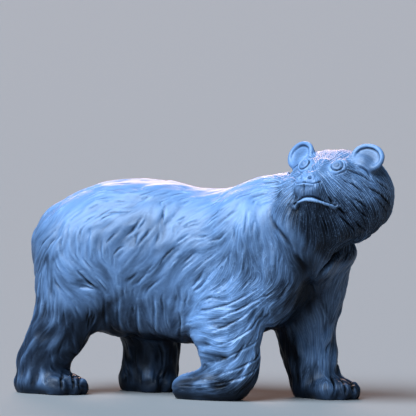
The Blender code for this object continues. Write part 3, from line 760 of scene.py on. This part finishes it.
class Cuts:
    """Collects cuts and the locks that rise beside them, so that cuts that cross don't add up."""

    def __init__(self, finder, normals):
        self.finder = finder
        self.normals = normals
        self.sunk = np.zeros(len(normals))
        self.raised = np.zeros(len(normals))

    def add(self, path, half, depth, rise, blunt=False):
        """A groove along the path, pointed at its ends unless blunt. The lock to the left of the
        path, seen from outside, rises. A negative depth makes a bead instead of a groove."""
        spots = np.array([self.finder.nearest(place) for place in path])
        kept = np.linalg.norm(self.finder.points[spots] - path, axis=1) < STRAY
        if kept.sum() < FEWEST_POINTS:
            return
        spots = spots[kept]
        path = self.finder.points[spots]
        for _ in range(PATH_BLUR):
            path[1:-1] = 0.25 * path[:-2] + 0.5 * path[1:-1] + 0.25 * path[2:]
        tangent = np.gradient(path, axis=0)
        tangent /= np.linalg.norm(tangent, axis=1)[:, None] + 1e-9
        out = self.normals[spots]
        near, spot, gap = self.finder.round_path(path, CUT_REACH[0] * half + CUT_REACH[1])
        facing = (self.normals[near] * out[spot]).sum(1) > CUT_FACING
        near, spot, gap = near[facing], spot[facing], gap[facing]
        away = self.finder.points[near] - path[spot]
        along = (away * tangent[spot]).sum(1)
        gap = np.sqrt(np.clip(gap**2 - np.clip(along, -CUT_ALONG, CUT_ALONG) ** 2, 0, None))
        taper = np.ones(len(spot))
        if not blunt:
            share = np.clip(spot / (len(path) - 1), CUT_ENDS, 1 - CUT_ENDS)
            taper = np.sin(math.pi * share) ** CUT_TAPER
        groove = depth * taper * np.exp(-((gap / half) ** 2))
        side = (away * np.cross(out[spot], tangent[spot])).sum(1)
        aside, wide = LOCK_ASIDE
        lock = rise * taper * np.exp(-(((side / half - aside) / wide) ** 2)) * (side > 0)
        if depth > 0:
            self.sunk[near] = np.maximum(self.sunk[near], groove)
        else:
            self.raised[near] = np.maximum(self.raised[near], -groove)
        self.raised[near] = np.maximum(self.raised[near], lock)

    def add_set(self, cut_set, place=None, blunt=False):
        (half, depth, rise), paths = cut_set
        for points in paths:
            rows = np.array([place(p) for p in points] if place else points, float)
            self.add(smooth_path(rows, PATH_STEPS), half, depth, rise, blunt)


def carve_gouges(cuts, plan, dice):
    """Long cuts along the hair, spread over the body."""
    points = plan.skin.points
    share = bare_share(points, in_head(points)) * (1 - GOUGES_WORN * plan.head)
    half, depth, rise = GOUGE
    for start in spread_out(points, share > GOUGE_FROM, GOUGE_SPACING, dice):
        length = dice.uniform(*GOUGE_LENGTH)
        deep = dice.uniform(*GOUGE_DEPTHS) * share[start]
        path = smooth_path(plan.finder.trace(start, plan.flow, length)[::3], PATH_STEPS // 2)
        cuts.add(path, half * dice.uniform(*GOUGE_WIDTHS), depth * deep, rise * deep)


def head_spot(place, side=1):
    """A place in the head's frame, or its mirror image, in carving units."""
    f, l, n = place
    return head_matrix() @ Vector((f, l * side, n))


def eye_plane():
    """The way an eye looks, and outward from the nose and up across that way."""
    look = Vector(EYE_LOOK).normalized()
    up = (Vector((0, 0, 1)) - look * look.z).normalized()
    outward = up.cross(look)
    return look, outward * (1 if outward.y > 0 else -1), up


def carve_lids(cuts, side):
    """The lids and the folds round an eye."""
    _, outward, up = eye_plane()
    for sizes, paths in (LID_CUTS, FOLD_CUTS):
        for points in paths:
            turned_round = points if side < 0 else points[::-1]
            spots = [Vector(EYE_PLACE) + outward * a + up * b for a, b in turned_round]
            rows = np.array([head_spot(spot, side) for spot in spots], float)
            cuts.add(smooth_path(rows, PATH_STEPS), *sizes)


def carve_face(cuts, inside):
    """Mouth, lips, philtrum, lids, ear grooves and the strokes of the cheeks. Gives the height of
    the rings round eyes and nostrils, and how dark the eyes' rings are, with painted shade in the
    groove round each eyeball."""
    for cut_set in (MOUTH_CUTS, CHIN_CUTS, UPPER_LIP_BEADS, BRIDGE_BEADS, PHILTRUM_CUTS):
        cuts.add_set(cut_set, head_spot, blunt=True)
    rings = np.zeros(len(inside))
    dark = np.zeros(len(inside))
    for side in (1, -1):
        carve_lids(cuts, side)
        groove = ear_oval(2 * EAR_RIM + EAR_GROOVE_GAP, *EAR_GROOVE_TURNS)
        cuts.add(np.array([ear_place(side) @ Vector(p) for p in groove]), *EAR_GROOVE)
        for sizes, paths in (CHEEK_CUTS, MUZZLE_CUTS):
            shown = paths if side > 0 else paths[:-1]
            cuts.add_set((sizes, shown), lambda p: head_spot(p, side))
        away = inside - np.array(EYE_PLACE) * (1, side, 1)
        facing = np.array(eye_plane()[0]) * (1, side, 1)
        rings += ring_heights(away, facing, EYE_RINGS)
        dark += ring_heights(away, facing, EYE_DARKNESS)
    for nostril in NOSTRILS:
        rings += ring_heights(inside - nostril, np.array(NOSTRIL_WAY), NOSTRIL_RINGS)
    return rings, dark


def ring_heights(away, facing, rings):
    """Heights of rings round a middle, looked at along the given way."""
    along = away @ (facing / np.linalg.norm(facing))
    across = np.sqrt(np.clip((away**2).sum(1) - along**2, 0, None))
    radii, heights = zip(*rings)
    return np.interp(across, radii, heights) * (np.abs(along) < RING_REACH)


def lip_gap(inside):
    """How far each point is from the middle line of the lower lip."""
    line = smooth_path(LOWER_LIP[:-1], LIP_STEPS)
    return np.min([np.linalg.norm(inside - place, axis=1) for place in line], axis=0)


def ramp(values, start, width, least=0.0):
    """From least up to 1 between the start and one width beyond it."""
    return np.clip((values - start) / width, least, 1)


def bare_share(points, inside):
    """0 where no hair is cut, on the soles and eyes; less on ears, nose and lips; 1 elsewhere."""
    share = ramp(points[:, 2], *BARE_SOLES)
    wide, high = EAR_HALF
    ear_half = (EAR_DEEP, wide + EAR_MARGIN, high + EAR_MARGIN)
    for side in (1, -1):
        mirror = (1, side, 1)
        eye = np.linalg.norm(inside - np.multiply(EYE_PLACE, mirror), axis=1)
        share *= ramp(eye, *BARE_EYES)
        share *= ramp(far_in(inside, np.multiply(EAR_PLACE, mirror), ear_half), *BARE_EARS)
    share *= ramp(far_in(inside, *NOSE), *BARE_NOSE)
    share *= ramp(far_in(inside, *UPPER_LIP), *BARE_UPPER_LIP)
    return share * ramp(lip_gap(inside), *BARE_LOWER_LIP)


def cloud(skin, rounds, dice, ties=None, drawn=0):
    """Soft random patches between -1 and 1, drawn out along the hair if there are ties."""
    values = skin.blurred(dice.standard_normal(len(skin.points)), rounds)
    values = skin.drawn_out(values, ties, drawn)
    return np.clip(values / (FULL_PATCH * values.std()), -1, 1)


def hollow_share(coarse, normals):
    """How much of the way outward from each point the stone itself or the ground closes off, which
    is painted as shade.
    """
    quads = np.empty(len(coarse.data.loops), int)
    coarse.data.loops.foreach_get("vertex_index", quads)
    corners = ((-1, -1), (1, -1), (1, 1), (-1, 1))
    ground = [(x * GROUND_HALF, y * GROUND_HALF, GROUND_HEIGHT) for x, y in corners]
    count = len(coarse.points)
    faces = quads.reshape(-1, 4).tolist() + [[count, count + 1, count + 2, count + 3]]
    tree = BVHTree.FromPolygons(coarse.points.tolist() + ground, faces)
    turn = math.pi * (3 - math.sqrt(5))
    ways = []
    for k in range(HOLLOW_RAYS):
        up = 1 - (2 * k + 1) / HOLLOW_RAYS
        flat = math.sqrt(1 - up * up)
        ways.append(Vector((flat * math.cos(turn * k), flat * math.sin(turn * k), up)) * HOLLOW_WIDTH)
    closed = np.zeros(count)
    for k in range(count):
        normal = Vector(normals[k])
        start = Vector(coarse.points[k]) + normal * HOLLOW_START
        hits = [tree.ray_cast(start, normal + way, HOLLOW_REACH)[0] for way in ways]
        closed[k] = sum(hit is not None for hit in hits)
    return coarse.blurred(closed / HOLLOW_RAYS, HOLLOW_BLUR)


def nearness(points, places):
    """The sum of soft spots, each with a middle, a reach and a height."""
    total = np.zeros(len(points))
    for (place, reach), height in places:
        total += height * np.exp(-((points - place) ** 2).sum(1) / reach**2)
    return total


def on_both_sides(places):
    """Places on the head's left, and the same on its right."""
    return places + [(((f, -l, n), reach), height) for ((f, l, n), reach), height in places]


def pale_and_lit_share(points, normals):
    """How pale the stone is, its own tone with painted light and shade: most where it faces up and
    high on the bear, as painted light from above, least low down, as painted shade, and changed in
    the soft spots."""
    inside = in_head(points)
    level, upward, tall = BODY_TONE_AND_LIGHT
    middle, over = TONE_HEIGHTS
    share = level + upward * normals[:, 2] + tall * (points[:, 2] - middle) / over
    level, upward, tall, aside = FACE_TONE_AND_LIGHT
    face = level + upward * normals[:, 2] - aside * inside[:, 1]
    face += tall * np.minimum(inside[:, 2], FACE_TOP)
    share += (face - share) * head_share(inside)
    share += nearness(points, PALER_AND_LIT_PLACES + DARKER_AND_SHADED_PLACES)
    share += nearness(inside, on_both_sides(FACE_LIGHT_AND_SHADE_PLACES))
    return np.clip(share, 0, 1)


def ties_along(skin, finder, flow, length):
    """For each point, the points this far ahead along the hair and this far behind."""
    return [np.array([finder.nearest(p) for p in skin.points + flow * (way * length)])
            for way in (1, -1)]


def from_to(pair, head):
    """A value on the body, and another on the face."""
    body, face = pair
    return body + (face - body) * head


def planned_hair(coarse, dice):
    """The hair laid out on the coarse skin: how it lies, its strands as waves, and soft patches."""
    plan = SimpleNamespace(skin=coarse, normals=coarse.normals(), finder=Finder(coarse.points))
    plan.flow = comb(coarse.points, plan.normals)
    plan.head = head_share(in_head(coarse.points))
    plan.pitch = from_to(STRAND_PITCH, plan.head)
    plan.pitch = plan.pitch * (1 + PITCH_SPREAD * cloud(coarse, PITCH_ROUNDS, dice))
    ties = ties_along(coarse, plan.finder, plan.flow, WAVE_TIE)
    wave = np.exp(2j * math.pi * dice.random(len(coarse.points)))
    plan.wave, _ = strand_waves(coarse, plan.flow, plan.normals, plan.pitch, LAYOUT_ROUNDS, wave, ties)
    ties = ties_along(coarse, plan.finder, plan.flow, LOCK_TIE)
    plan.tufts = cloud(coarse, TUFT_ROUNDS[0], dice, ties, TUFT_ROUNDS[1])
    plan.locks = cloud(coarse, LOCK_ROUNDS[0], dice, ties, LOCK_ROUNDS[1])
    plan.patches = cloud(coarse, PATCH_ROUNDS, dice)
    plan.hollow = hollow_share(coarse, plan.normals)
    return plan


def fitted_hair(plan, skin, normals, finder, dice):
    """The planned hair taken over by the fine skin, each point from the nearest coarse one."""
    match = np.array([plan.finder.nearest(p) for p in skin.points])
    pitch = plan.pitch[match]
    across = np.cross(plan.normals, plan.flow)[match]
    placed = turned(plan.wave[match], across, skin.points - plan.skin.points[match], pitch)
    flow = skin.blurred(plan.flow[match], LIE_ROUNDS)
    flow /= np.linalg.norm(flow, axis=1)[:, None]
    ties = ties_along(skin, finder, flow, STREAK_TIE)
    streaks = cloud(skin, STREAK_ROUNDS[0], dice, ties, STREAK_ROUNDS[1])
    strands, agreed = strand_waves(skin, flow, normals, pitch, FITTING_ROUNDS, placed)
    return SimpleNamespace(
        match=match,
        head=plan.head[match],
        tufts=skin.blurred(plan.tufts[match], TUFT_BLUR),
        locks=skin.blurred(plan.locks[match], LOCK_BLUR),
        streaks=streaks,
        strands=strands * np.exp(1j * UNEVENNESS * skin.blurred(streaks, SLIGHT_BLUR)),
        calm=np.clip(skin.blurred(agreed, SLIGHT_BLUR), 0, 1),
        uneven=BY_PATCH[0] + BY_PATCH[1] * skin.blurred(plan.patches[match], SLIGHT_BLUR),
    )


def shares_of(points, inside, head):
    """How much of the hair is cut at each point, how crisp it is, and where crown and belly are."""
    above, over = WORN_ABOVE
    below, under = DEEP_BELOW
    high = ramp(points[:, 2], above, over) * (1 - head)
    crisp = ramp(points[:, 0], *CRISP_FROM) * (1 - STRANDS_WORN * high)
    forward, upward = CROWN_FROM
    return SimpleNamespace(
        haired=bare_share(points, inside),
        high=high,
        low=ramp(-points[:, 2], -below, under),
        crisp=np.maximum(crisp, head),
        crown=ramp(inside[:, 0], *forward) * ramp(inside[:, 2], *upward),
    )


def hair_height(hair, part):
    """The height of the cut hair over the skin: tufts, locks and streaks, then strands and lines."""
    head = hair.head
    tufted = TUFTS_LEFT + (1 - TUFTS_LEFT) * np.maximum(part.low, head)
    height = from_to(TUFT_DEPTH, head) * tufted * (hair.tufts - SOFT_LEVEL)
    height += from_to(LOCK_DEPTH, head) * (1 - LOCKS_WORN * part.high) * (hair.locks - SOFT_LEVEL)
    height += from_to(STREAK_DEPTH, head) * (hair.streaks - SOFT_LEVEL)
    strand = np.abs(np.cos(np.angle(hair.strands) / 2)) - STRAND_LEVEL
    line = np.abs(hair.strands.real) - STRAND_LEVEL
    strand_share = hair.calm * part.crisp * hair.uneven * (BY_STREAK[0] + BY_STREAK[1] * hair.streaks)
    height += from_to(STRAND_DEPTH, head) * strand_share * strand
    height += LINE_DEPTH * head * hair.calm * line
    return height * part.haired * (1 - CROWN_WORN * part.crown * head)


def stone_tones(plan, skin, hair, part, inside):
    """How pale the stone is at each point, its own tone with painted light and shade, how closed in
    it is, which is painted as shade, and how near the lower lip.
    """
    lip = np.exp(-((lip_gap(inside) / LIP_WIDTH) ** 4))
    pale = pale_and_lit_share(plan.skin.points, plan.skin.blurred(plan.normals, HOLLOW_BLUR))
    pale = skin.blurred(pale[hair.match], TONE_BLUR)
    pale += (TUFT_TONE[0] + TUFT_TONE[1] * part.low) * hair.tufts
    pale += STREAK_TONE * hair.streaks * part.haired
    pale = np.clip(pale, 0, 1) + LIP_TONE * lip
    opened = 1 - OPENED * np.clip(nearness(skin.points, PALER_AND_LIT_PLACES), 0, 1)
    hollow = skin.blurred(plan.hollow[hair.match], TONE_BLUR) * (1 - LIP_OPEN * lip) * opened
    return np.clip(pale, 0, 1), hollow, lip


def paint_on(bear, paint):
    """Stores each layer of paint as a value per point, which the material reads by name."""
    for name, values in paint.items():
        made = bear.data.attributes.new(name, "FLOAT", "POINT")
        made.data.foreach_set("value", values)


def carved_bear():
    """The whole bear in carving units, cut and painted."""
    dice = np.random.default_rng(SEED)
    layout, bear = coarse_and_fine()
    coarse, skin = Skin(layout), Skin(bear)
    skin.even(EVENING_ROUNDS[1])
    plan = planned_hair(coarse, dice)
    normals = skin.normals()
    finder = Finder(skin.points.copy())
    hair = fitted_hair(plan, skin, normals, finder, dice)
    inside = in_head(skin.points)
    part = shares_of(skin.points, inside, hair.head)

    cuts = Cuts(finder, normals)
    carve_gouges(cuts, plan, dice)
    for cut_set in (FLANK_CUTS, LEG_CUTS, BELLY_CUTS, TOE_CUTS, RUFF_CUTS, MANE_CUTS):
        cuts.add_set(cut_set)
    rings, dark = carve_face(cuts, inside)
    shape = hair_height(hair, part) + cuts.raised - cuts.sunk
    pale, hollow, lip = stone_tones(plan, skin, hair, part, inside)
    skin.points += normals * (shape + rings)[:, None]
    keep_inside(skin)
    skin.store()

    # Painted shade deep under the jaw and chest and on the chin.
    black = nearness(skin.points, DEEP_SHADE_PLACES) + nearness(inside, CHIN_SHADE_PLACES)
    ridge = (shape - skin.blurred(shape, RIDGE_BLUR)) / RIDGE_HEIGHT
    # The paint holds painted shade in the cuts, the eyes' rings and closed-in places and deep under
    # the jaw, chest and chin, painted highlights on the ridges besides their wear, painted light and
    # shade in the paleness besides the stone's own tone, and where the face's glints are painted.
    paint_on(bear, {
        "cut_shade": np.clip(-(shape + rings) / CUT_SHADE_DEPTH + dark, 0, 1),
        "black": np.clip(black, 0, DEEPEST_SHADE),
        "ridge": np.clip(0.5 + ridge + LIP_RIDGE * lip, 0, 1),
        "hollow": hollow,
        "pale": pale,
        "line_a": hair.strands.real,
        "line_b": hair.strands.imag,
        "hair": part.haired * hair.calm * part.crisp**2 * from_to((BODY_LINES, 1), hair.head),
        "glint_share": hair.head * (1 - part.crown) * np.clip(part.haired, LEAST_GLINTS, 1),
    })
    bpy.data.objects.remove(layout)
    thin(bear)
    return bear


def keep_inside(skin):
    """No point goes past the solid's own box, and the soles stay flat."""
    low, high = [(np.array(corner) - ORIGIN) / UNIT for corner in cad_box]
    skin.points = np.clip(skin.points, low, high)


def thin(bear):
    """Fewer triangles, most of them left where the stone bends sharply."""
    quads = len(bear.data.polygons)
    apply(bear, "DECIMATE", ratio=FINAL_TRIANGLES / (2 * quads), use_collapse_triangulate=True)


def back_to_metres(bear):
    bear.data.transform(Matrix.Translation(ORIGIN) @ Matrix.Scale(UNIT, 4))


# The stone: black below and paler and bluer above, its own tone with painted light from above and
# painted shade below; paler still on ridges, worn and lit by painted highlights; and black with
# painted shade in the cuts and closed-in places.
STONE_COLOUR = (0.010, 0.019, 0.038)
PALE_AND_LIT_COLOUR = (0.105, 0.205, 0.390)
WORN_AND_HIGHLIT_COLOUR = (0.260, 0.410, 0.640)
PAINTED_SHADE_COLOUR = (0.002, 0.003, 0.005)
STONE_ROUGHNESS = (0.45, 0.60)
# Pale flecks on the rough stone of the face, painted as glints: how fine, how strong, and the least
# of them on bare parts.
FLECK_SCALE = 1100.0
FLECK_SHARE = 0.45
LEAST_GLINTS = 0.3
# Uneven wear and painted highlights of ridges and of the fine lines' tops: how fine each is.
WEAR_AND_HIGHLIGHT_SCALE = 60.0
LINE_WEAR_AND_HIGHLIGHT_SCALE = 330.0
# Ramps of the shader: from a value to another, and what these become where that isn't 0 and 1.
WEAR_AND_HIGHLIGHT = (0.35, 0.65, 0.55, 1.0)
RIDGES = (0.45, 0.85)
RIDGES_BY_PALE = (0.0, 0.8, 0.10, 0.9)
LINE_TOPS = (0.70, 0.95, 0.0, 0.45)
LINE_WEAR_AND_HIGHLIGHT = (0.40, 0.62, 0.15, 1.0)
LINES_BY_PALE = (0.0, 0.6, 0.5, 1.0)
LINES_BY_DEEP_SHADE = (0.1, 0.7, 1.0, 0.2)
FLECKS = (0.58, 0.75)
# These three ramp painted shade: in the gaps between the fine lines, at the bottoms of the cuts, and
# in closed-in places.
LINE_GAP_SHADE = (0.65, 0.20)
CUT_BOTTOMS = (0.22, 0.85)
CLOSED_IN_SHADE = (0.30, 0.80, 0.0, 0.85)
COATED_PALE = (0.0, 0.6)
# The broad fine lines' share beside the faint ones.
BROAD_LINES = 0.65
# The grain: how fine, its share beside the lines, and their strength and depth in metres.
GRAIN_SCALE = 900.0
GRAIN_SHARE = 0.6
BUMP_STRENGTH = 0.6
BUMP_DEPTH = 0.0003
# The stone's own shine is low. A weak wax coat gives the sheen: its weight on black and on pale
# stone, and its roughness.
STONE_SHINE = 0.12
COAT_SHARE = (0.15, 0.80)
COAT_ROUGHNESS = 0.5
# How pale the body is, its own tone with painted light on what faces up and high up and painted
# shade low down: to start with, for facing up, and for height, which counts from the first of the
# two heights over the second. How pale the face is, with the same painted light from above and
# painted shade towards its left: to start with, for facing up, for each unit of height up to the
# top, and less for each unit to the bear's left.
BODY_TONE_AND_LIGHT = (0.42, 0.42, 0.42)
TONE_HEIGHTS = (45, 80)
FACE_TONE_AND_LIGHT = (0.42, 0.35, 0.035, 0.006)
FACE_TOP = 10
# How much paler tufts are high up and more so low down, streaks, and the lower lip, which also
# counts as a ridge and as less closed in; and how wide the lip's own tone is.
TUFT_TONE = (0.10, 0.14)
STREAK_TONE = 0.12
LIP_TONE = 0.8
LIP_RIDGE = 0.25
LIP_OPEN = 0.7
LIP_WIDTH = 1.3
OPENED = 0.9
# Soft spots that are paler or darker than height and slope alone make them, set by comparing
# renders with the photograph, so that they hold painted light and painted shade besides the stone's
# own tone: middle and reach, then the change. A paler spot counts as opened, by the share above.
# The last are in the head's frame, on its left, and mirrored: eyes, ear bowls, under the nose and
# muzzle; the ear bowls and under the nose take painted shade and the muzzle painted light.
PALER_AND_LIT_PLACES = [
    (((20, -34, 32), 22), 1.30), (((28, -30, 48), 14), 0.35), (((62, -30, 116), 12), 0.15),
    (((58, 7, 28), 11), 1.60), (((-15, -30, 40), 20), 0.30), (((-60, -30, 55), 16), 0.20),
]
DARKER_AND_SHADED_PLACES = [
    (((-76, -26, 32), 18), -0.42), (((-72, -24, 4), 18), -1.20), (((68, 6, 3), 12), -1.30),
    (((43, 6, 22), 9), -0.80), (((0, -30, 0), 13), -0.80), (((14, -31, 3), 12), -1.20),
    (((-30, 15, 20), 22), -0.42), (((-85, -20, 75), 20), -0.32), (((-25, -30, 92), 24), -0.38),
    (((48, -29, 57), 12), -0.50), (((51, -30, 89), 11), -0.22),
]
FACE_LIGHT_AND_SHADE_PLACES = [
    (((23.5, 9.5, 11.3), 3.2), -0.45), (((11.5, 19.3, 19.9), 5.5), -0.60),
    (((31.5, 1.5, -6.8), 3.5), -0.15), (((27.0, 5.0, 1.0), 7.0), 0.60),
]
# Painted shade, deep under the jaw and chest and on the chin: middle and reach, then how black.
DEEP_SHADE_PLACES = [
    (((60, -25, 68), 6), 0.80), (((57, -13, 57), 8), 0.90), (((52, -11, 50), 8), 0.90),
    (((56, -3, 50), 7), 0.90), (((47, -17, 39), 5), 0.95), (((47, 1, 40), 8), 0.95),
    (((43, 7, 23), 7), 0.60),
]
CHIN_SHADE_PLACES = [(((21.0, 0.0, -20.0), 10.0), 0.55), (((10.0, -2.0, -26.0), 10.0), 0.35)]
DEEPEST_SHADE = 0.9
# How deep a cut is painted all black as shade, how high a ridge is all worn and lit by a painted
# highlight, and over how many rounds of smoothing a ridge is told from what lies round it.
CUT_SHADE_DEPTH = 1.5
RIDGE_HEIGHT = 0.6
RIDGE_BLUR = 6


class Nodes:
    """A short way to add the nodes of one material."""

    def __init__(self, material):
        self.tree = material.node_tree

    def add(self, kind, inputs=None, **settings):
        node = self.tree.nodes.new(kind)
        for name, value in settings.items():
            setattr(node, name, value)
        for name, value in (inputs or {}).items():
            if isinstance(value, bpy.types.NodeSocket):
                self.tree.links.new(value, node.inputs[name])
            else:
                node.inputs[name].default_value = value
        return node

    def value_of(self, name):
        return self.add("ShaderNodeAttribute", attribute_name=name).outputs["Fac"]

    def spread(self, value, low, high, to_low=0.0, to_high=1.0):
        node = self.add("ShaderNodeMapRange", {"Value": value, "From Min": low, "From Max": high,
                                               "To Min": to_low, "To Max": to_high})
        return node.outputs["Result"]

    def mixed(self, share, one, other):
        """From one colour to the other. Sockets 0, 6 and 7 of a colour mix are share, A and B."""
        node = self.add("ShaderNodeMix", {0: share, 6: one, 7: other}, data_type="RGBA")
        return node.outputs[2]

    def noise(self, scale, detail=3.0):
        place = self.add("ShaderNodeTexCoord").outputs["Object"]
        node = self.add("ShaderNodeTexNoise", {"Vector": place, "Scale": scale, "Detail": detail})
        return node.outputs["Fac"]

    def maths(self, operation, one, other=0.0):
        return self.add("ShaderNodeMath", {0: one, 1: other}, operation=operation).outputs[0]

    def product(self, first, *others):
        for other in others:
            first = self.maths("MULTIPLY", first, other)
        return first


def hair_lines(nodes):
    """Height of the fine lines, two broad and four faint to a strand, from the strand's wave."""
    a, b = nodes.value_of("line_a"), nodes.value_of("line_b")
    long = nodes.maths("SQRT", nodes.maths("ADD", nodes.product(a, a), nodes.product(b, b)))
    line = nodes.maths("ABSOLUTE", nodes.maths("DIVIDE", a, nodes.maths("MAXIMUM", long, 0.05)))
    finer = nodes.maths("ABSOLUTE", nodes.maths("SUBTRACT", nodes.product(line, line, 2.0), 1.0))
    return nodes.maths("ADD", nodes.product(line, BROAD_LINES), nodes.product(finer, 1 - BROAD_LINES))


def wear_and_highlight_share(nodes, lines, haired, pale, black):
    """How pale the stone's ridges, the tops of its fine lines and its flecks are: wear with painted
    highlights on the ridges and line tops, and painted glints for the flecks.
    """
    wear_and_highlight = nodes.spread(nodes.noise(WEAR_AND_HIGHLIGHT_SCALE), *WEAR_AND_HIGHLIGHT)
    ridges = nodes.spread(nodes.value_of("ridge"), *RIDGES)
    worn_and_highlit = nodes.product(ridges, wear_and_highlight, nodes.spread(pale, *RIDGES_BY_PALE))
    line_tops = nodes.product(
        nodes.spread(lines, *LINE_TOPS),
        haired,
        nodes.spread(nodes.noise(LINE_WEAR_AND_HIGHLIGHT_SCALE), *LINE_WEAR_AND_HIGHLIGHT),
        nodes.spread(pale, *LINES_BY_PALE),
        nodes.spread(black, *LINES_BY_DEEP_SHADE),
    )
    flecks = nodes.spread(nodes.noise(FLECK_SCALE, 2.0), *FLECKS)
    flecks = nodes.product(flecks, nodes.value_of("glint_share"), FLECK_SHARE)
    total = nodes.maths("ADD", nodes.maths("ADD", worn_and_highlit, line_tops), flecks)
    return nodes.maths("MINIMUM", total, 1.0)


def stone_material():
    """Satin black stone, bluer and paler where its paint says so, with painted light, highlights and
    glints, and black with painted shade deep in the cuts, in closed-in places and under the jaw and
    chest.
    """
    made = bpy.data.materials.new("satin_black_stone")
    made.use_nodes = True
    nodes = Nodes(made)
    shader = made.node_tree.nodes["Principled BSDF"]
    lines = hair_lines(nodes)
    haired = nodes.value_of("hair")
    pale = nodes.value_of("pale")
    black = nodes.value_of("black")
    worn_and_highlit = wear_and_highlight_share(nodes, lines, haired, pale, black)
    cut = nodes.spread(nodes.value_of("cut_shade"), *CUT_BOTTOMS)
    closed = nodes.spread(nodes.value_of("hollow"), *CLOSED_IN_SHADE)
    between = nodes.product(nodes.spread(lines, *LINE_GAP_SHADE), haired)
    # Paler and bluer by the stone's own tone and by painted light from above.
    colour = nodes.mixed(pale, (*STONE_COLOUR, 1), (*PALE_AND_LIT_COLOUR, 1))
    # Paler still where wear with painted highlights and the painted glints lie.
    colour = nodes.mixed(worn_and_highlit, colour, (*WORN_AND_HIGHLIT_COLOUR, 1))
    # Painted shade darkens the gaps between the fine lines, the cuts and the eyes' rings, closed-in
    # places, and deep under the jaw, chest and chin.
    for share in (between, cut, closed, black):
        colour = nodes.mixed(share, colour, (*PAINTED_SHADE_COLOUR, 1))
    coat = nodes.spread(pale, *COATED_PALE, *COAT_SHARE)
    for share in (cut, closed, black):
        coat = nodes.product(coat, nodes.maths("SUBTRACT", 1.0, share))
    grain = nodes.product(nodes.noise(GRAIN_SCALE, 4.0), GRAIN_SHARE)
    height = nodes.maths("ADD", nodes.product(lines, haired), grain)
    sizes = {"Strength": BUMP_STRENGTH, "Distance": BUMP_DEPTH, "Height": height}
    bump = nodes.add("ShaderNodeBump", sizes)
    made.node_tree.links.new(colour, shader.inputs["Base Color"])
    made.node_tree.links.new(nodes.spread(worn_and_highlit, 0, 1, *STONE_ROUGHNESS), shader.inputs["Roughness"])
    made.node_tree.links.new(coat, shader.inputs["Coat Weight"])
    made.node_tree.links.new(bump.outputs["Normal"], shader.inputs["Normal"])
    shader.inputs["Coat Roughness"].default_value = COAT_ROUGHNESS
    shader.inputs["Specular IOR Level"].default_value = STONE_SHINE
    return made


# The camera: bearing and height of the photograph's view, its roll, distance and framing. The
# picture is 416 pixels wide, half a carving unit each, and the ground under the carving's own
# origin is at pixel (205, 396).
AZIMUTH = math.radians(18)
ELEVATION = math.radians(3)
ROLL = math.radians(0.7)
DISTANCE = 3.0
PICTURE = 416
UNITS_PER_PIXEL = 0.5
GROUND_PIXEL = (205, 396)
SENSOR = 36
CLIPPED = (0.05, 20)


def camera():
    data = bpy.data.cameras.new("camera")
    made = bpy.data.objects.new("camera", data)
    bpy.context.scene.collection.objects.link(made)
    back = Vector((math.sin(AZIMUTH) * math.cos(ELEVATION),
                   -math.cos(AZIMUTH) * math.cos(ELEVATION), math.sin(ELEVATION)))
    right = Vector((math.cos(AZIMUTH), math.sin(AZIMUTH), 0))
    pixel = UNITS_PER_PIXEL * UNIT
    aside = (PICTURE / 2 - GROUND_PIXEL[0]) * pixel
    above = (GROUND_PIXEL[1] - PICTURE / 2) * pixel / math.cos(ELEVATION)
    target = Vector(ORIGIN) + right * aside + Vector((0, 0, above))
    made.location = target + back * DISTANCE
    turn = (-back).to_track_quat("-Z", "Y")
    made.rotation_mode = "QUATERNION"
    made.rotation_quaternion = turn @ Quaternion((0, 0, 1), ROLL)
    data.sensor_width = SENSOR
    data.lens = data.sensor_width * DISTANCE / (PICTURE * pixel)
    data.clip_start, data.clip_end = CLIPPED
    bpy.context.scene.camera = made


# The studio: a pale floor, a broad soft light from above the camera's left and a faint warm one
# from behind. Each light has where it comes from, its power, its colour and its width in degrees.
FLOOR_SIZE = 80.0
FLOOR_COLOUR = (0.20, 0.195, 0.19)
FLOOR_ROUGHNESS = 0.9
SKY_COLOUR = (0.66, 0.82, 1.0)
SKY_STRENGTH = 0.07
LIGHTS = {
    "sky": ((-0.32, -0.55, 0.77), 8.5, SKY_COLOUR, 50),
    "rim": ((-0.31, 0.85, 0.44), 1.3, (1.0, 0.66, 0.56), 25),
}


def sun(name, came_from, power, colour, width):
    """A broad light from far away."""
    data = bpy.data.lights.new(name, "SUN")
    data.energy = power
    data.color = colour
    data.angle = math.radians(width)
    made = bpy.data.objects.new(name, data)
    bpy.context.scene.collection.objects.link(made)
    made.rotation_mode = "QUATERNION"
    made.rotation_quaternion = Vector(came_from).to_track_quat("Z", "Y")


def studio():
    bpy.ops.mesh.primitive_plane_add(size=FLOOR_SIZE)
    floor = bpy.context.object
    floor.name = "floor"
    paint = bpy.data.materials.new("pale_floor")
    paint.use_nodes = True
    shader = paint.node_tree.nodes["Principled BSDF"]
    shader.inputs["Base Color"].default_value = (*FLOOR_COLOUR, 1)
    shader.inputs["Roughness"].default_value = FLOOR_ROUGHNESS
    floor.data.materials.append(paint)
    world = bpy.data.worlds.new("studio")
    world.use_nodes = True
    background = world.node_tree.nodes["Background"]
    background.inputs["Color"].default_value = (*SKY_COLOUR, 1)
    background.inputs["Strength"].default_value = SKY_STRENGTH
    bpy.context.scene.world = world
    bpy.context.scene.view_settings.view_transform = "Standard"
    for name, settings in LIGHTS.items():
        sun(name, *settings)


camera()
studio()
bear = carved_bear()
back_to_metres(bear)
bear.data.materials.append(stone_material())
select_only(bear)
bpy.ops.object.shade_smooth_by_angle(angle=math.radians(SMOOTH_ANGLE))
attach(bear, "root")
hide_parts("polar_bear")
